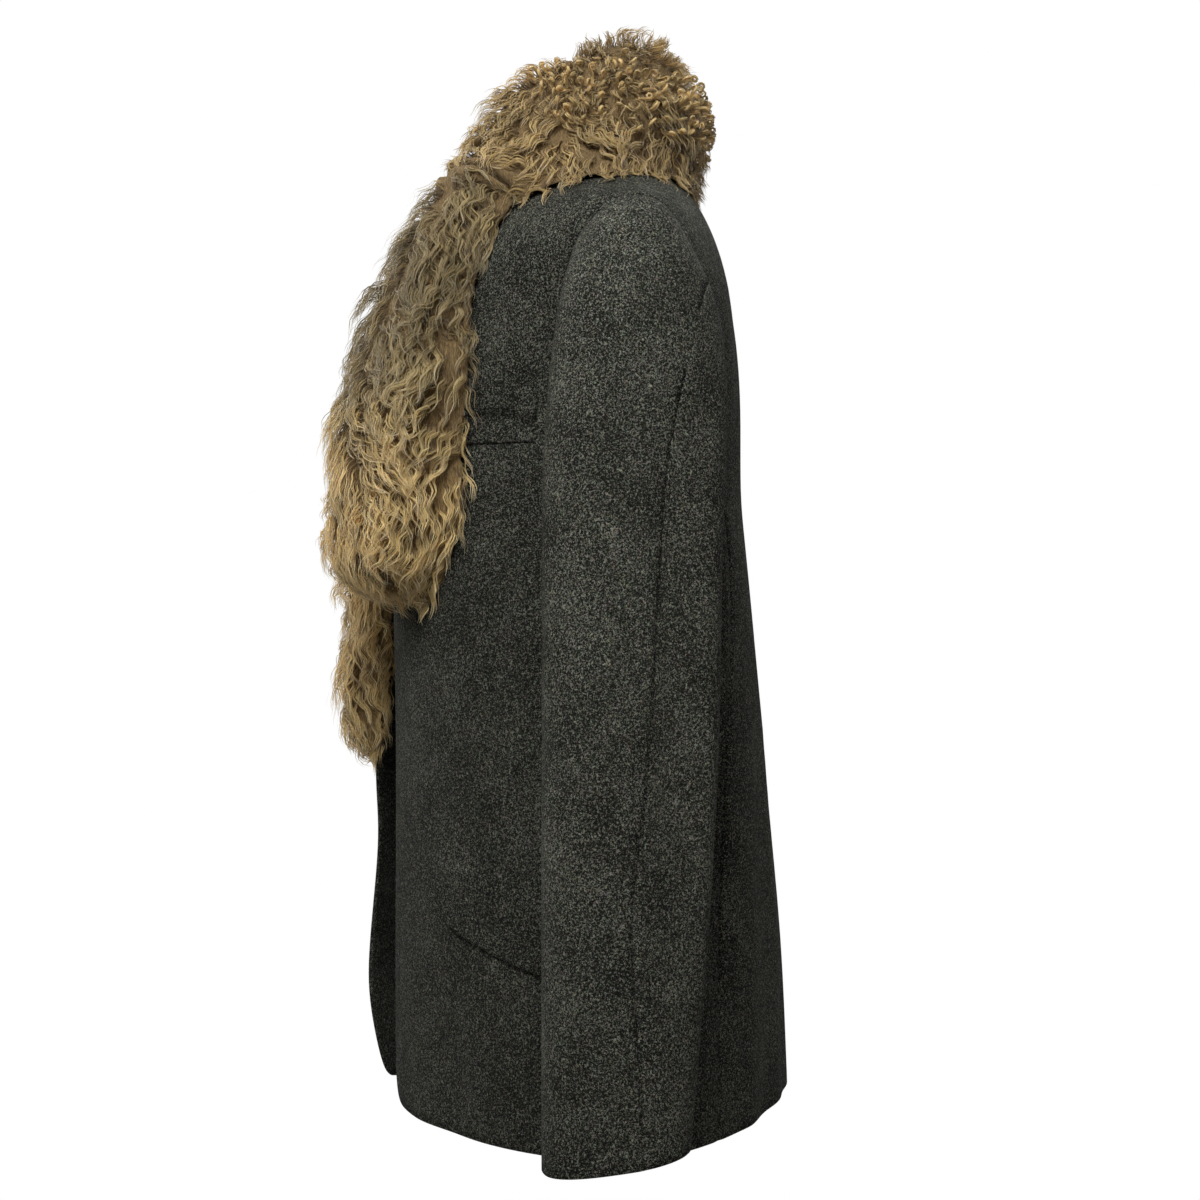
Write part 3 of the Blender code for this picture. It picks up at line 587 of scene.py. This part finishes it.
class JACKET_OT_cloth(bpy.types.Operator):
    """Makes the cut pieces of tweed on the frame, with their creases and sewn seams"""
    bl_idname = "jacket.cloth"
    bl_label = "Tweed pieces"

    def execute(self, context):
        settings = context.scene.jacket_tweed
        tweed = tweed_material("tweed", settings)
        # the fronts and pockets get a copy of the tweed painted darker: painted shade
        shaded_front_tweed = tweed_material("tweed_front_painted_shade", settings, FRONT_PAINTED_SHADE)
        plain = {name: frame_tree([name]) for name in cloth_names()}
        meshes = {name: subdivided(name, 2, [plain[row[0]] for row in neighbours(name)])
                  for name in cloth_names()}
        trees = {name: tree_of([mesh]) for name, mesh in meshes.items()}
        forms = {}
        for side, word in SIDES:
            for part, kinds in (("arm", ("sleeve_top", "sleeve_under")),
                                ("body", ("front", "side", "back"))):
                forms[part, side] = frame_tree([f"{kind}_{word}" for kind in kinds])
        for kind, held, rests, width, length, area in CLOTH_PIECES:
            part, core = ("arm", ARM_CORE) if kind.startswith("sleeve") else ("body", BODY_CORE)
            for side, word in SIDES:
                name = f"{kind}_{word}"
                points = points_of(meshes[name])
                away = outward_from(points, core, side)
                deep = crease_depth(points, part, side, forms)
                if kind == "pocket_flap":
                    shaped = press_flap(points, away, name)
                else:
                    shaped = draw_together(points, away, trees, name)
                set_points(meshes[name], shaped - away * (deep * settings.crease)[:, None])
                # fronts and flaps take the tweed with painted shade
                used = shaded_front_tweed if kind in ("front", "pocket_flap") else tweed
                piece = add_piece("cloth_" + name, meshes[name], used, "tweed", name)
        self.welt(shaded_front_tweed)
        return {'FINISHED'}

    def welt(self, tweed):
        """The breast welt, pressed into the front but for its upper edge, in the fronts' tweed
        with its painted shade.
        """
        mesh = subdivided("breast_welt", 2, [])
        points = points_of(mesh)
        rim = smooth(5.0 * MM, 1.0 * MM, below_top("breast_welt", points))
        away = outward_from(points, BODY_CORE, 1)
        set_points(mesh, points + away * ((WELT_STANDS * rim - WELT_SUNK) * MM)[:, None])
        welt = add_piece("cloth_breast_welt", mesh, tweed, "tweed", "breast_welt")


# -------- strands


def ribbon_mesh(name, centres, half_widths, across, marks, facing):
    """Mesh of many thin ribbons, shaded by the directions in facing: (ribbon, point, 3)."""
    count, steps = centres.shape[:2]
    wide = across * half_widths[:, :, None]
    points = np.stack((centres - wide, centres + wide), axis=2).reshape(-1, 3)
    base = np.arange(count)[:, None] * steps * 2 + np.arange(steps - 1)[None] * 2
    corners = np.stack((base, base + 1, base + 3, base + 2), axis=2).reshape(-1)
    mesh = bpy.data.meshes.new(name)
    mesh.vertices.add(len(points))
    mesh.vertices.foreach_set("co", points.ravel())
    mesh.loops.add(len(corners))
    mesh.loops.foreach_set("vertex_index", corners.astype(np.int32))
    faces = len(corners) // 4
    mesh.polygons.add(faces)
    mesh.polygons.foreach_set("loop_start", np.arange(faces, dtype=np.int32) * 4)
    mesh.update(calc_edges=True)
    layer = mesh.color_attributes.new("strand", 'FLOAT_COLOR', 'POINT')
    colours = np.ones((len(points), 4), dtype=np.float32)
    colours[:, :3] = np.repeat(marks, 2, axis=1).reshape(-1, 3)
    layer.data.foreach_set("color", colours.ravel())
    mesh.polygons.foreach_set("use_smooth", np.ones(faces, dtype=bool))
    mesh.normals_split_custom_set_from_vertices(np.repeat(facing, 2, axis=1).reshape(-1, 3))
    return mesh


def unit(vectors):
    return vectors / np.maximum(np.linalg.norm(vectors, axis=-1, keepdims=True), 1e-9)


def facing_out(centres, outs):
    """Shading directions of strands: outward, square to the way the strand runs."""
    tangents = unit(np.gradient(centres, axis=-2))
    return unit(outs - tangents * np.sum(outs * tangents, axis=-1, keepdims=True))


def in_rows(*fields):
    """Fields by lock, strand and point as fields by strand and point."""
    return [field.reshape(-1, *field.shape[2:]) for field in fields]


def scatter(points, faces, allowed, count, spacing, rng):
    """Random places on the allowed triangles, at least spacing apart."""
    corners = points[faces[allowed]]
    cross = np.cross(corners[:, 1] - corners[:, 0], corners[:, 2] - corners[:, 0])
    areas = np.linalg.norm(cross, axis=1) / 2.0
    tries = count * 8
    chosen = rng.choice(len(corners), tries, p=areas / areas.sum())
    first, second = rng.random(tries), rng.random(tries)
    flip = first + second > 1.0
    first[flip], second[flip] = 1.0 - first[flip], 1.0 - second[flip]
    triangle = corners[chosen]
    places = (triangle[:, 0] + (triangle[:, 1] - triangle[:, 0]) * first[:, None]
              + (triangle[:, 2] - triangle[:, 0]) * second[:, None])
    cells, kept = {}, []
    for index, place in enumerate(places):
        x, y, z = np.floor(place / spacing).astype(int)
        close = any(np.sum((places[other] - place) ** 2) < spacing ** 2
                    for dx, dy, dz in NEAR_CELLS
                    for other in cells.get((x + dx, y + dy, z + dz), ()))
        if not close:
            cells.setdefault((x, y, z), []).append(index)
            kept.append(index)
            if len(kept) == count:
                break
    return places[kept]


# -------- fur


def lapel_spans(name):
    """Heights along a lapel, with how far its near and far edges lie from the middle there."""
    corners = points_of(NODES[name].data)
    levels = np.linspace(corners[:, 2].min() + 4.0 * MM, corners[:, 2].max() - 4.0 * MM, 24)
    rows = [np.abs(corners[np.abs(corners[:, 2] - level) < 12.0 * MM][:, 0])
            for level in levels]
    return levels, [row.min() for row in rows], [row.max() for row in rows]


def lapel_lay(place, side, spans):
    """Direction in which a lapel's fur lies at a place: out from its middle, and down."""
    near, far = (np.interp(place[2], spans[0], edge) for edge in spans[1:])
    middle, half = (near + far) / 2.0, (far - near) / 2.0
    across = (abs(place[0]) - middle) / max(half, 0.02)
    upper = smooth(-0.265, -0.17, place[2])
    sideways = np.clip(across * 1.6 + 0.15, -1.0, 1.0)
    spread = (0.95 if sideways < 0.0 else 0.55) * upper + 0.26 * (1.0 - upper)
    return np.array((side * sideways * spread, -0.35 * max(-sideways, 0.0) * upper,
                     -0.62 - 0.4 * (1.0 - upper)))


def collar_lay(place):
    """Direction of the collar's fur: over the crest, then down to its lower edge."""
    across = np.array((place[0], (place[1] + 0.01) * 1.25, 0.0))
    reach = np.linalg.norm(across)
    outer = smooth(0.055, 0.085, reach)
    high = smooth(0.045, 0.085, place[2])
    away = across / max(reach, 1e-6)
    down = -0.85 * (1.0 - 0.75 * high) * outer + 0.5 * (1.0 - outer)
    lay = away * (0.75 * outer + 0.2) + np.array((0.0, 0.0, down))
    front = smooth(-0.045, -0.095, place[1])
    return lay * (1.0 - front) + front * np.array((0.30 * away[0], -0.25, -0.95))


def ringlet_zone(place):
    """True where the collar has tight ringlets: its outer side, behind the shoulder line."""
    return (0.014 < place[2] < 0.058 and place[1] > -0.055
            and place[0] ** 2 + place[1] ** 2 > 0.06 ** 2)


def swirl(place, seed):
    """Slow turn of the lay from place to place, which gathers locks into whorls."""
    x, y, z = place / MM
    return (0.34 * sin(x * 0.085 + seed) * sin(z * 0.060 + y * 0.05 + seed * 2.0)
            + 0.22 * sin(z * 0.11 - y * 0.09 + seed * 3.1))


def dent_at(name, places):
    """Depth of the hollows between tufts at each place."""
    depth = np.zeros(len(places))
    for x, y, z, radius, deep in DENTS[name]:
        away = np.linalg.norm(places - np.array((x, y, z)) * MM, axis=1) / (radius * MM)
        depth = np.maximum(depth, deep * MM * np.exp(-away ** 2))
    return depth


def tufts_of(roots, centres, rng):
    """What each lock has from its tuft, with how near it lies to the parting between two."""
    gaps = np.linalg.norm(roots[:, None] - centres[None], axis=2)
    nearest, second = np.sort(gaps, axis=1)[:, :2].T
    parting = np.exp(-((second - nearest) / (PARTING_WIDTH * TUFT_SPACING * MM)) ** 2)
    count = len(centres)
    tufts = {"centre": centres,
             "turn": rng.normal(0.0, 0.26, count),
             "wave": rng.uniform(14.5, 22.0, count) * MM,
             "phase": rng.uniform(0.0, 2.0 * pi, count),
             "swing": rng.uniform(0.65, 1.25, count),
             "lift": rng.normal(0.0, 1.7, count) * MM,
             "tone": rng.random(count)}
    own = gaps.argmin(axis=1)
    return {"parting": parting, **{key: values[own] for key, values in tufts.items()}}


def along_surface(lay, normal):
    """The part of a direction that runs along a surface, as a unit vector."""
    lay = lay - normal * lay.dot(normal)
    return lay.normalized() if lay.length > 1e-6 else normal.orthogonal().normalized()


def lock_cut(root, spans):
    """Share of the full length that a lock keeps at its root's place, and how deep it lies."""
    if spans:
        return 1.0 - 0.45 * smooth(0.045, 0.005, root[2] - spans[0][0]), 0.0
    if ringlet_zone(root):
        return 0.6, RINGLETS_SUNK * MM
    short = 1.0 - 0.45 * smooth(0.040, 0.075, root[2])
    return short - 0.55 * (smooth(0.03, 0.06, root[1]) * smooth(0.035, 0.01, root[2])), 0.0


def comb(name, roots, tufts, tree, cloth, length, depth, rng):
    """Guide lines of locks, combed over the fur's surface: points and outward directions."""
    side = -1.0 if name.endswith("right") else 1.0
    spans = lapel_spans(name) if "lapel" in name else None
    lines = np.zeros((len(roots), GUIDE_STEPS + 1, 3))
    faces_out = np.zeros_like(lines)
    dents = dent_at(name, roots)
    seed = rng.random() * 6.0
    jitter = rng.normal(0.0, 0.10, len(roots))
    lengths = length * MM * rng.uniform(0.72, 1.12, len(roots))
    for number, root in enumerate(roots):
        spot, normal, _, _ = tree.find_nearest(Vector(root))
        lean = lapel_lay(root, side, spans) if spans else collar_lay(root)
        turn = swirl(root, seed) + tufts["turn"][number] + jitter[number]
        lay = along_surface(Vector(lean), normal)
        lay = lay * cos(turn) + normal.cross(lay) * sin(turn)
        beside = normal.cross(lay)
        off = beside.dot(Vector(root - tufts["centre"][number]))
        lay = (lay - beside * (0.55 * off / (length * MM))).normalized()
        to_cloth = cloth.find_nearest(Vector(root))[3]
        deep = min(depth * MM, 0.35 * to_cloth)
        parted = PARTING * MM * tufts["parting"][number] * min(to_cloth / (18.0 * MM), 1.0)
        short, sunk = lock_cut(root, spans)
        top = FUR_RISE * MM - sunk - parted + tufts["lift"][number]
        advance = lengths[number] * short / GUIDE_STEPS
        hanging = False
        for step in range(GUIDE_STEPS + 1):
            share = step / GUIDE_STEPS
            height = (-deep - dents[number] * 0.6
                      + (deep + top - dents[number] * 0.5) * (1.0 - (1.0 - share) ** 2.3))
            lines[number, step] = spot + normal * height
            faces_out[number, step] = normal
            ahead = spot + lay * advance * (0.35 + 1.3 * share)
            if hanging:
                spot = ahead
                lay = (lay + Vector((0.0, 0.0, -0.12))).normalized()
                continue
            found, found_normal, _, _ = tree.find_nearest(ahead)
            to_cloth = cloth.find_nearest(found)[3]
            if to_cloth < 6.0 * MM or found_normal.dot(normal) < 0.2:
                hanging = True
                spot = ahead
                continue
            spot, normal = found, found_normal
            lay = along_surface(lay, normal)
    return lines, faces_out


def looks_out(face):
    """True for a face of the body's cloth that looks away from the body."""
    away = Vector((face.center.x, face.center.y, max(face.center.z + 0.12, 0.0)))
    return face.normal.dot(away.normalized()) > 0.1


def keep_off_cloth(points, cloth, clear):
    """Lifts points that have come too near the cloth or gone behind it."""
    for index, point in enumerate(points):
        place, normal, _, distance = cloth.find_nearest(Vector(point), 12.0 * MM)
        if place is None:
            continue
        height = (Vector(point) - place).dot(normal)
        if height < clear * MM and distance < 10.0 * MM:
            points[index] += np.array(normal) * (clear * MM - height)


def lock_strands(lines, faces_out, tufts, paler, settings, rng):
    """Strands of every lock: centres, half widths, side directions, colour marks, facing."""
    locks, points = lines.shape[:2]
    count = settings.strands
    each = (locks, count, 1)
    share = np.linspace(0.0, 1.0, points)
    tangents = unit(np.gradient(lines, axis=1))
    sides = unit(np.cross(tangents, faces_out))
    outs = unit(np.cross(sides, tangents))
    reach = rng.uniform(0.74, 1.0, each)
    spot = share * reach * (points - 1)
    low = np.minimum(spot.astype(int), points - 2)
    part = (spot - low)[..., None]
    pick = np.arange(locks)[:, None, None]

    def along(field):
        return field[pick, low] * (1.0 - part) + field[pick, low + 1] * part

    centre, side, out = along(lines), along(sides), along(outs)
    angle = rng.uniform(0.0, 2.0 * pi, each)
    radius = np.sqrt(rng.random(each))
    length = np.linalg.norm(np.diff(lines, axis=1), axis=2).sum(axis=1)[:, None, None]
    wave_length = (tufts["wave"] * rng.uniform(0.93, 1.07, locks))[:, None, None]
    phase = (2.0 * pi * share * reach * length / wave_length
             + (tufts["phase"] + rng.normal(0.0, 0.4, locks))[:, None, None]
             + rng.normal(0.0, 0.22, each))
    swing = settings.wave * tufts["swing"][:, None, None] * smooth(0.05, 0.5, share)
    spread = radius * LOCK_RADIUS * MM * (1.0 - 0.72 * share ** 1.5)
    loose = np.minimum(rng.exponential(0.28, each), 1.0) * FLYAWAY * MM
    sideways = spread * np.cos(angle) + swing * np.sin(phase)
    upward = (spread * np.sin(angle) * 0.7 + swing * 0.6 * np.cos(phase)
              + loose * share ** 1.6)
    centres = centre + side * sideways[..., None] + out * upward[..., None]

    # Every third strand is a lone one: thinner, and turned any way round.
    lone = (np.arange(count) % 3 == 0)[None, :, None]
    roll = np.where(lone, rng.uniform(-1.5, 1.5, each), rng.normal(0.0, 0.45, each))[..., None]
    across = unit(side * np.cos(roll) + out * np.sin(roll))
    profile = np.interp(share, (0.0, 0.2, 0.6, 0.85, 1.0), (0.8, 1.0, 0.85, 0.55, 0.12))
    widths = (settings.strand_width / 2.0 * profile * np.where(lone, 0.6, 1.0)
              * rng.uniform(0.75, 1.2, each))

    # Near its root a strand is shaded with the lock's round form, at its tip with its own.
    round_lock = side * (0.9 * radius * np.cos(angle))[..., None]
    own = unit(np.cross(across, np.gradient(centres, axis=-2)))
    soft = np.interp(share, (0.0, 0.4, 1.0), (0.75, 0.55, 0.15))
    soft = (soft * np.where(lone, 0.4, 1.0))[..., None]
    facing = facing_out(centres, (out + round_lock) * soft + own * (1.0 - soft))

    # Marks: how far along the lock, the strand's tone, and the lock's, which carries painted
    # light and shade.
    marks = np.empty(centres.shape)
    marks[..., 0] = share * reach
    marks[..., 1] = rng.random(each)
    # Painted light: the lock's mark is raised low down, partly the fur's own paler tone there,
    # mostly making up for the light that falls off downwards. The far lapel's locks are painted a
    # little darker: painted shade.
    painted_light_low = smooth(0.12, 0.24, -lines[:, 0, 2])
    marks[..., 2] = (0.26 * tufts["tone"] + 0.22 * rng.random(locks) + paler + 0.86 * painted_light_low
                     - 0.04 * (lines[:, 0, 0] < -0.02))[:, None, None]
    return in_rows(centres, widths, across, marks, facing)


def ringlet_strands(roots, normals, rng):
    """Strands of small tight curls that stand on the collar, in the form of lock_strands."""
    count, strands, points = len(roots), 8, 15
    each = (count, 1)
    share = np.linspace(0.0, 1.0, points)
    lean = unit(normals + rng.normal(0.0, 0.30, normals.shape))
    first = unit(np.cross(lean, rng.normal(0.0, 1.0, normals.shape)))
    second = np.cross(lean, first)
    axis = first[:, None]
    turns = rng.uniform(1.0, 1.5, each)
    coil = rng.uniform(1.9, 2.9, each) * MM * (1.0 - 0.35 * share)
    angle = 2.0 * pi * turns * smooth(0.12, 1.0, share) - pi / 2.0
    stem = rng.uniform(4.5, 7.5, each) * MM * np.minimum(share / 0.3, 1.0)
    drift = rng.uniform(0.8, 2.2, each) * MM * share
    radial = (lean[:, None] * np.sin(angle)[..., None]
              + second[:, None] * np.cos(angle)[..., None])
    middle = (roots[:, None] + lean[:, None] * (stem - 4.0 * MM)[..., None]
              + axis * drift[..., None])
    lines = middle + radial * coil[..., None]
    turn = rng.uniform(0.0, 2.0 * pi, (count, strands, 1))
    spread = np.sqrt(rng.random((count, strands, 1))) * 1.7 * MM * (1.0 - 0.6 * share)
    outs = radial[:, None] * np.sin(turn)[..., None] + axis[:, None] * np.cos(turn)[..., None]
    centres = lines[:, None] + outs * spread[..., None]
    facing = facing_out(centres, radial[:, None] * 0.8 + outs)
    across = unit(np.cross(unit(np.gradient(centres, axis=-2)), facing))
    widths = np.interp(share, (0.0, 0.7, 1.0), (0.42, 0.38, 0.12)) * MM
    widths = np.broadcast_to(widths, centres.shape[:3])
    marks = np.empty(centres.shape)
    marks[..., 0] = 0.28 + 0.64 * share
    marks[..., 1] = rng.uniform(0.0, 1.0, (count, strands, 1))
    marks[..., 2] = rng.uniform(0.25, 0.85, (count, 1, 1))
    return in_rows(centres, widths, across, marks, facing)


def under_pad(name, cloth):
    """The matted wool under the locks: the fur's own form, drawn in where it is thick."""
    mesh = subdivided(name, 2)
    fuller_fur(mesh, name)
    points = points_of(mesh)
    normals = rows_of(mesh.vertex_normals, "vector")
    dents = dent_at(name, points)
    joined = frame_tree([row[0] for row in FUR_PIECES if row[0] != name])
    for index, point in enumerate(points):
        to_cloth = cloth.find_nearest(Vector(point))[3]
        to_fur = joined.find_nearest(Vector(point))[3]
        inset = min(0.5 * max(to_cloth - 2.5 * MM, 0.0), WOOL_SUNK * MM)
        inset *= smooth(WOOL_EDGE[0] * MM, WOOL_EDGE[1] * MM, to_fur)
        points[index] = point - normals[index] * (inset + dents[index] * 0.6)
    set_points(mesh, points)
    mesh.shade_smooth()
    return mesh


def fuller_fur(mesh, name):
    """Bulges the left lapel's lower end, wraps the right one's edge, tucks up the nape."""
    points = points_of(mesh)
    x, y, z = points.T
    if name == "fur_collar":
        nape = smooth(0.055, 0.080, y) * smooth(0.035, 0.0, z)
        points[:, 2] += 7.0 * MM * nape
    if name == "fur_lapel_left":
        outer = smooth(0.085, 0.135, x - 0.35 * np.minimum(z + 0.2, 0.0))
        low = smooth(-0.20, -0.27, z) * smooth(-0.352, -0.322, z)
        points = points + (15.0 * MM * outer * low)[:, None] * np.array((0.62, 0.78, 0.0))
        points[:, 2] += 11.0 * MM * outer * smooth(-0.285, -0.325, z)
    if name == "fur_lapel_right":
        inner = smooth(-0.040, -0.022, x) * smooth(-0.188, -0.168, y)
        points = points + (12.0 * MM * inner * smooth(-0.20, -0.26, z))[:, None] * (0.0, 1.0, 0.0)
    set_points(mesh, points)


def add_strands(name, strands, material):
    add_piece(name, ribbon_mesh(name, *strands), material, "fur")


class JACKET_OT_fur(bpy.types.Operator):
    """Makes the fur collar and lapels: matted wool, wavy locks and tight ringlets"""
    bl_idname = "jacket.fur"
    bl_label = "Fur"

    def execute(self, context):
        settings = context.scene.jacket_fur
        wool = underfur_material(settings)
        collar_locks = fur_material("fur_collar_locks", settings, tint=COLLAR_TINT)
        glossy = fur_material("fur_ringlets", settings, gloss=0.32, tint=COLLAR_TINT)
        lapel_locks = fur_material("fur_lapel_locks", settings)
        cloth = frame_tree(cloth_names())
        outside = frame_tree(("front_left", "front_right", "back_left", "back_right"), looks_out)
        for name, count, length, depth, paler, seed in FUR_PIECES:
            rng = np.random.default_rng(seed)
            pad = add_piece(name + "_wool", under_pad(name, cloth), wool, "fur", name)
            surface = subdivided(name, 1)
            fuller_fur(surface, name)
            surface.calc_loop_triangles()
            points = points_of(surface)
            faces = rows_of(surface.loop_triangles, "vertices", np.int32)
            tree = tree_of([surface])
            middles = points[faces].mean(axis=1)
            allowed = np.array([cloth.find_nearest(Vector(middle))[3] > FUR_EDGE * MM
                                for middle in middles])
            roots = scatter(points, faces, allowed, count, LOCK_SPACING * MM, rng)
            centres = scatter(points, faces, allowed, MOST_TUFTS, TUFT_SPACING * MM, rng)
            tufts = tufts_of(roots, centres, rng)
            lines, faces_out = comb(name, roots, tufts, tree, cloth, length, depth, rng)
            keep_off_cloth(lines.reshape(-1, 3), outside, LOCK_CLEAR)
            strands = lock_strands(lines, faces_out, tufts, paler, settings, rng)
            keep_off_cloth(strands[0].reshape(-1, 3), outside, STRAND_CLEAR)
            if name != "fur_collar":
                add_strands(name + "_locks", strands, lapel_locks)
                continue
            left = strands[0][:, 0, 0] > 0.0
            for word, chosen in (("_left", left), ("_right", ~left)):
                add_strands(name + "_locks" + word, [field[chosen] for field in strands],
                            collar_locks)
            curly = allowed & np.array([ringlet_zone(middle) for middle in middles])
            roots = scatter(points, faces, curly, settings.ringlets, RINGLET_SPACING * MM, rng)
            normals = np.array([tree.find_nearest(Vector(root))[1] for root in roots])
            add_strands("fur_collar_ringlets", ringlet_strands(roots, normals, rng), glossy)
        return {'FINISHED'}


# -------- stage


def floor_material():
    """Pale grey to the light, plain white to the camera."""
    made, nodes, shader = new_material("floor")
    nodes.fill(shader, {"Base Color": (0.3, 0.3, 0.3, 1.0), "Roughness": 0.9,
                        "Specular IOR Level": 0.0})
    seen = nodes.add("ShaderNodeLightPath").outputs["Is Camera Ray"]
    white = nodes.add("ShaderNodeEmission", {"Color": (1.0, 1.0, 1.0, 1.0)}).outputs[0]
    nodes.surface(seen, shader.outputs[0], white)
    return made


def studio_world(power):
    """Even light that grows towards the top, in front of a plain white."""
    sky = bpy.data.worlds.new("studio")
    sky.use_nodes = True
    nodes = Nodes(sky.node_tree)
    seen = nodes.add("ShaderNodeLightPath").outputs["Is Camera Ray"]
    way = nodes.add("ShaderNodeTexCoord").outputs["Generated"]
    rise = nodes.add("ShaderNodeSeparateXYZ", {0: way}).outputs["Z"]
    even = nodes.add("ShaderNodeMapRange", {"Value": rise, "From Min": -0.3, "From Max": 0.9,
                                            "To Min": 0.04 * power, "To Max": power})
    nodes.fill(sky.node_tree.nodes["Background"], {
        "Color": (1.0, 1.0, 1.0, 1.0), "Strength": nodes.between(seen, even.outputs[0], 1.0)})
    return sky


class JACKET_OT_stage(bpy.types.Operator):
    """Sets the pale floor, the soft studio light and the camera"""
    bl_idname = "jacket.stage"
    bl_label = "Stage"

    def execute(self, context):
        settings = context.scene.jacket_stage
        data = bpy.data.cameras.new("camera")
        data.sensor_width = 36.0
        data.lens = CAMERA_LENS
        camera = bpy.data.objects.new("camera", data)
        camera.location = CAMERA_PLACE
        camera.rotation_euler = CAMERA_TURN
        context.scene.collection.objects.link(camera)
        context.scene.camera = camera

        builder = bmesh.new()
        bmesh.ops.create_grid(builder, x_segments=1, y_segments=1, size=12.0)
        bmesh.ops.translate(builder, verts=builder.verts, vec=(0.0, 0.0, FLOOR * MM))
        mesh = bpy.data.meshes.new("floor")
        builder.to_mesh(mesh)
        builder.free()
        mesh.materials.append(floor_material())
        floor = bpy.data.objects.new("floor", mesh)
        context.scene.collection.objects.link(floor)

        context.scene.view_settings.view_transform = 'Standard'
        context.scene.world = studio_world(settings.sky)
        for name, place, target, size, key, share in LIGHTS:
            data = bpy.data.lights.new(name, 'AREA')
            data.size = size
            data.energy = getattr(settings, key) * share
            lamp = bpy.data.objects.new(name, data)
            lamp.location = place
            aim = Vector(target) - Vector(place)
            lamp.rotation_euler = aim.to_track_quat('-Z', 'Y').to_euler()
            context.scene.collection.objects.link(lamp)
        return {'FINISHED'}


class JACKET_PT_panel(bpy.types.Panel):
    bl_label = "Jacket"
    bl_idname = "JACKET_PT_panel"
    bl_space_type = 'VIEW_3D'
    bl_region_type = 'UI'
    bl_category = "Jacket"

    def draw(self, context):
        for settings, operator in (("jacket_tweed", "jacket.cloth"),
                                   ("jacket_fur", "jacket.fur"),
                                   ("jacket_stage", "jacket.stage")):
            box = self.layout.box()
            group = getattr(context.scene, settings)
            for key in group.__annotations__:
                box.prop(group, key)
            box.operator(operator)


CLASSES = (JACKET_PG_tweed, JACKET_PG_fur, JACKET_PG_stage, JACKET_OT_cloth, JACKET_OT_fur,
           JACKET_OT_stage, JACKET_PT_panel)


def register():
    for cls in CLASSES:
        bpy.utils.register_class(cls)
    bpy.types.Scene.jacket_tweed = PointerProperty(type=JACKET_PG_tweed)
    bpy.types.Scene.jacket_fur = PointerProperty(type=JACKET_PG_fur)
    bpy.types.Scene.jacket_stage = PointerProperty(type=JACKET_PG_stage)


def unregister():
    del bpy.types.Scene.jacket_stage
    del bpy.types.Scene.jacket_fur
    del bpy.types.Scene.jacket_tweed
    for cls in reversed(CLASSES):
        bpy.utils.unregister_class(cls)


def main():
    register()
    bpy.ops.jacket.cloth()
    bpy.ops.jacket.fur()
    bpy.ops.jacket.stage()


if __name__ == "__main__":
    main()
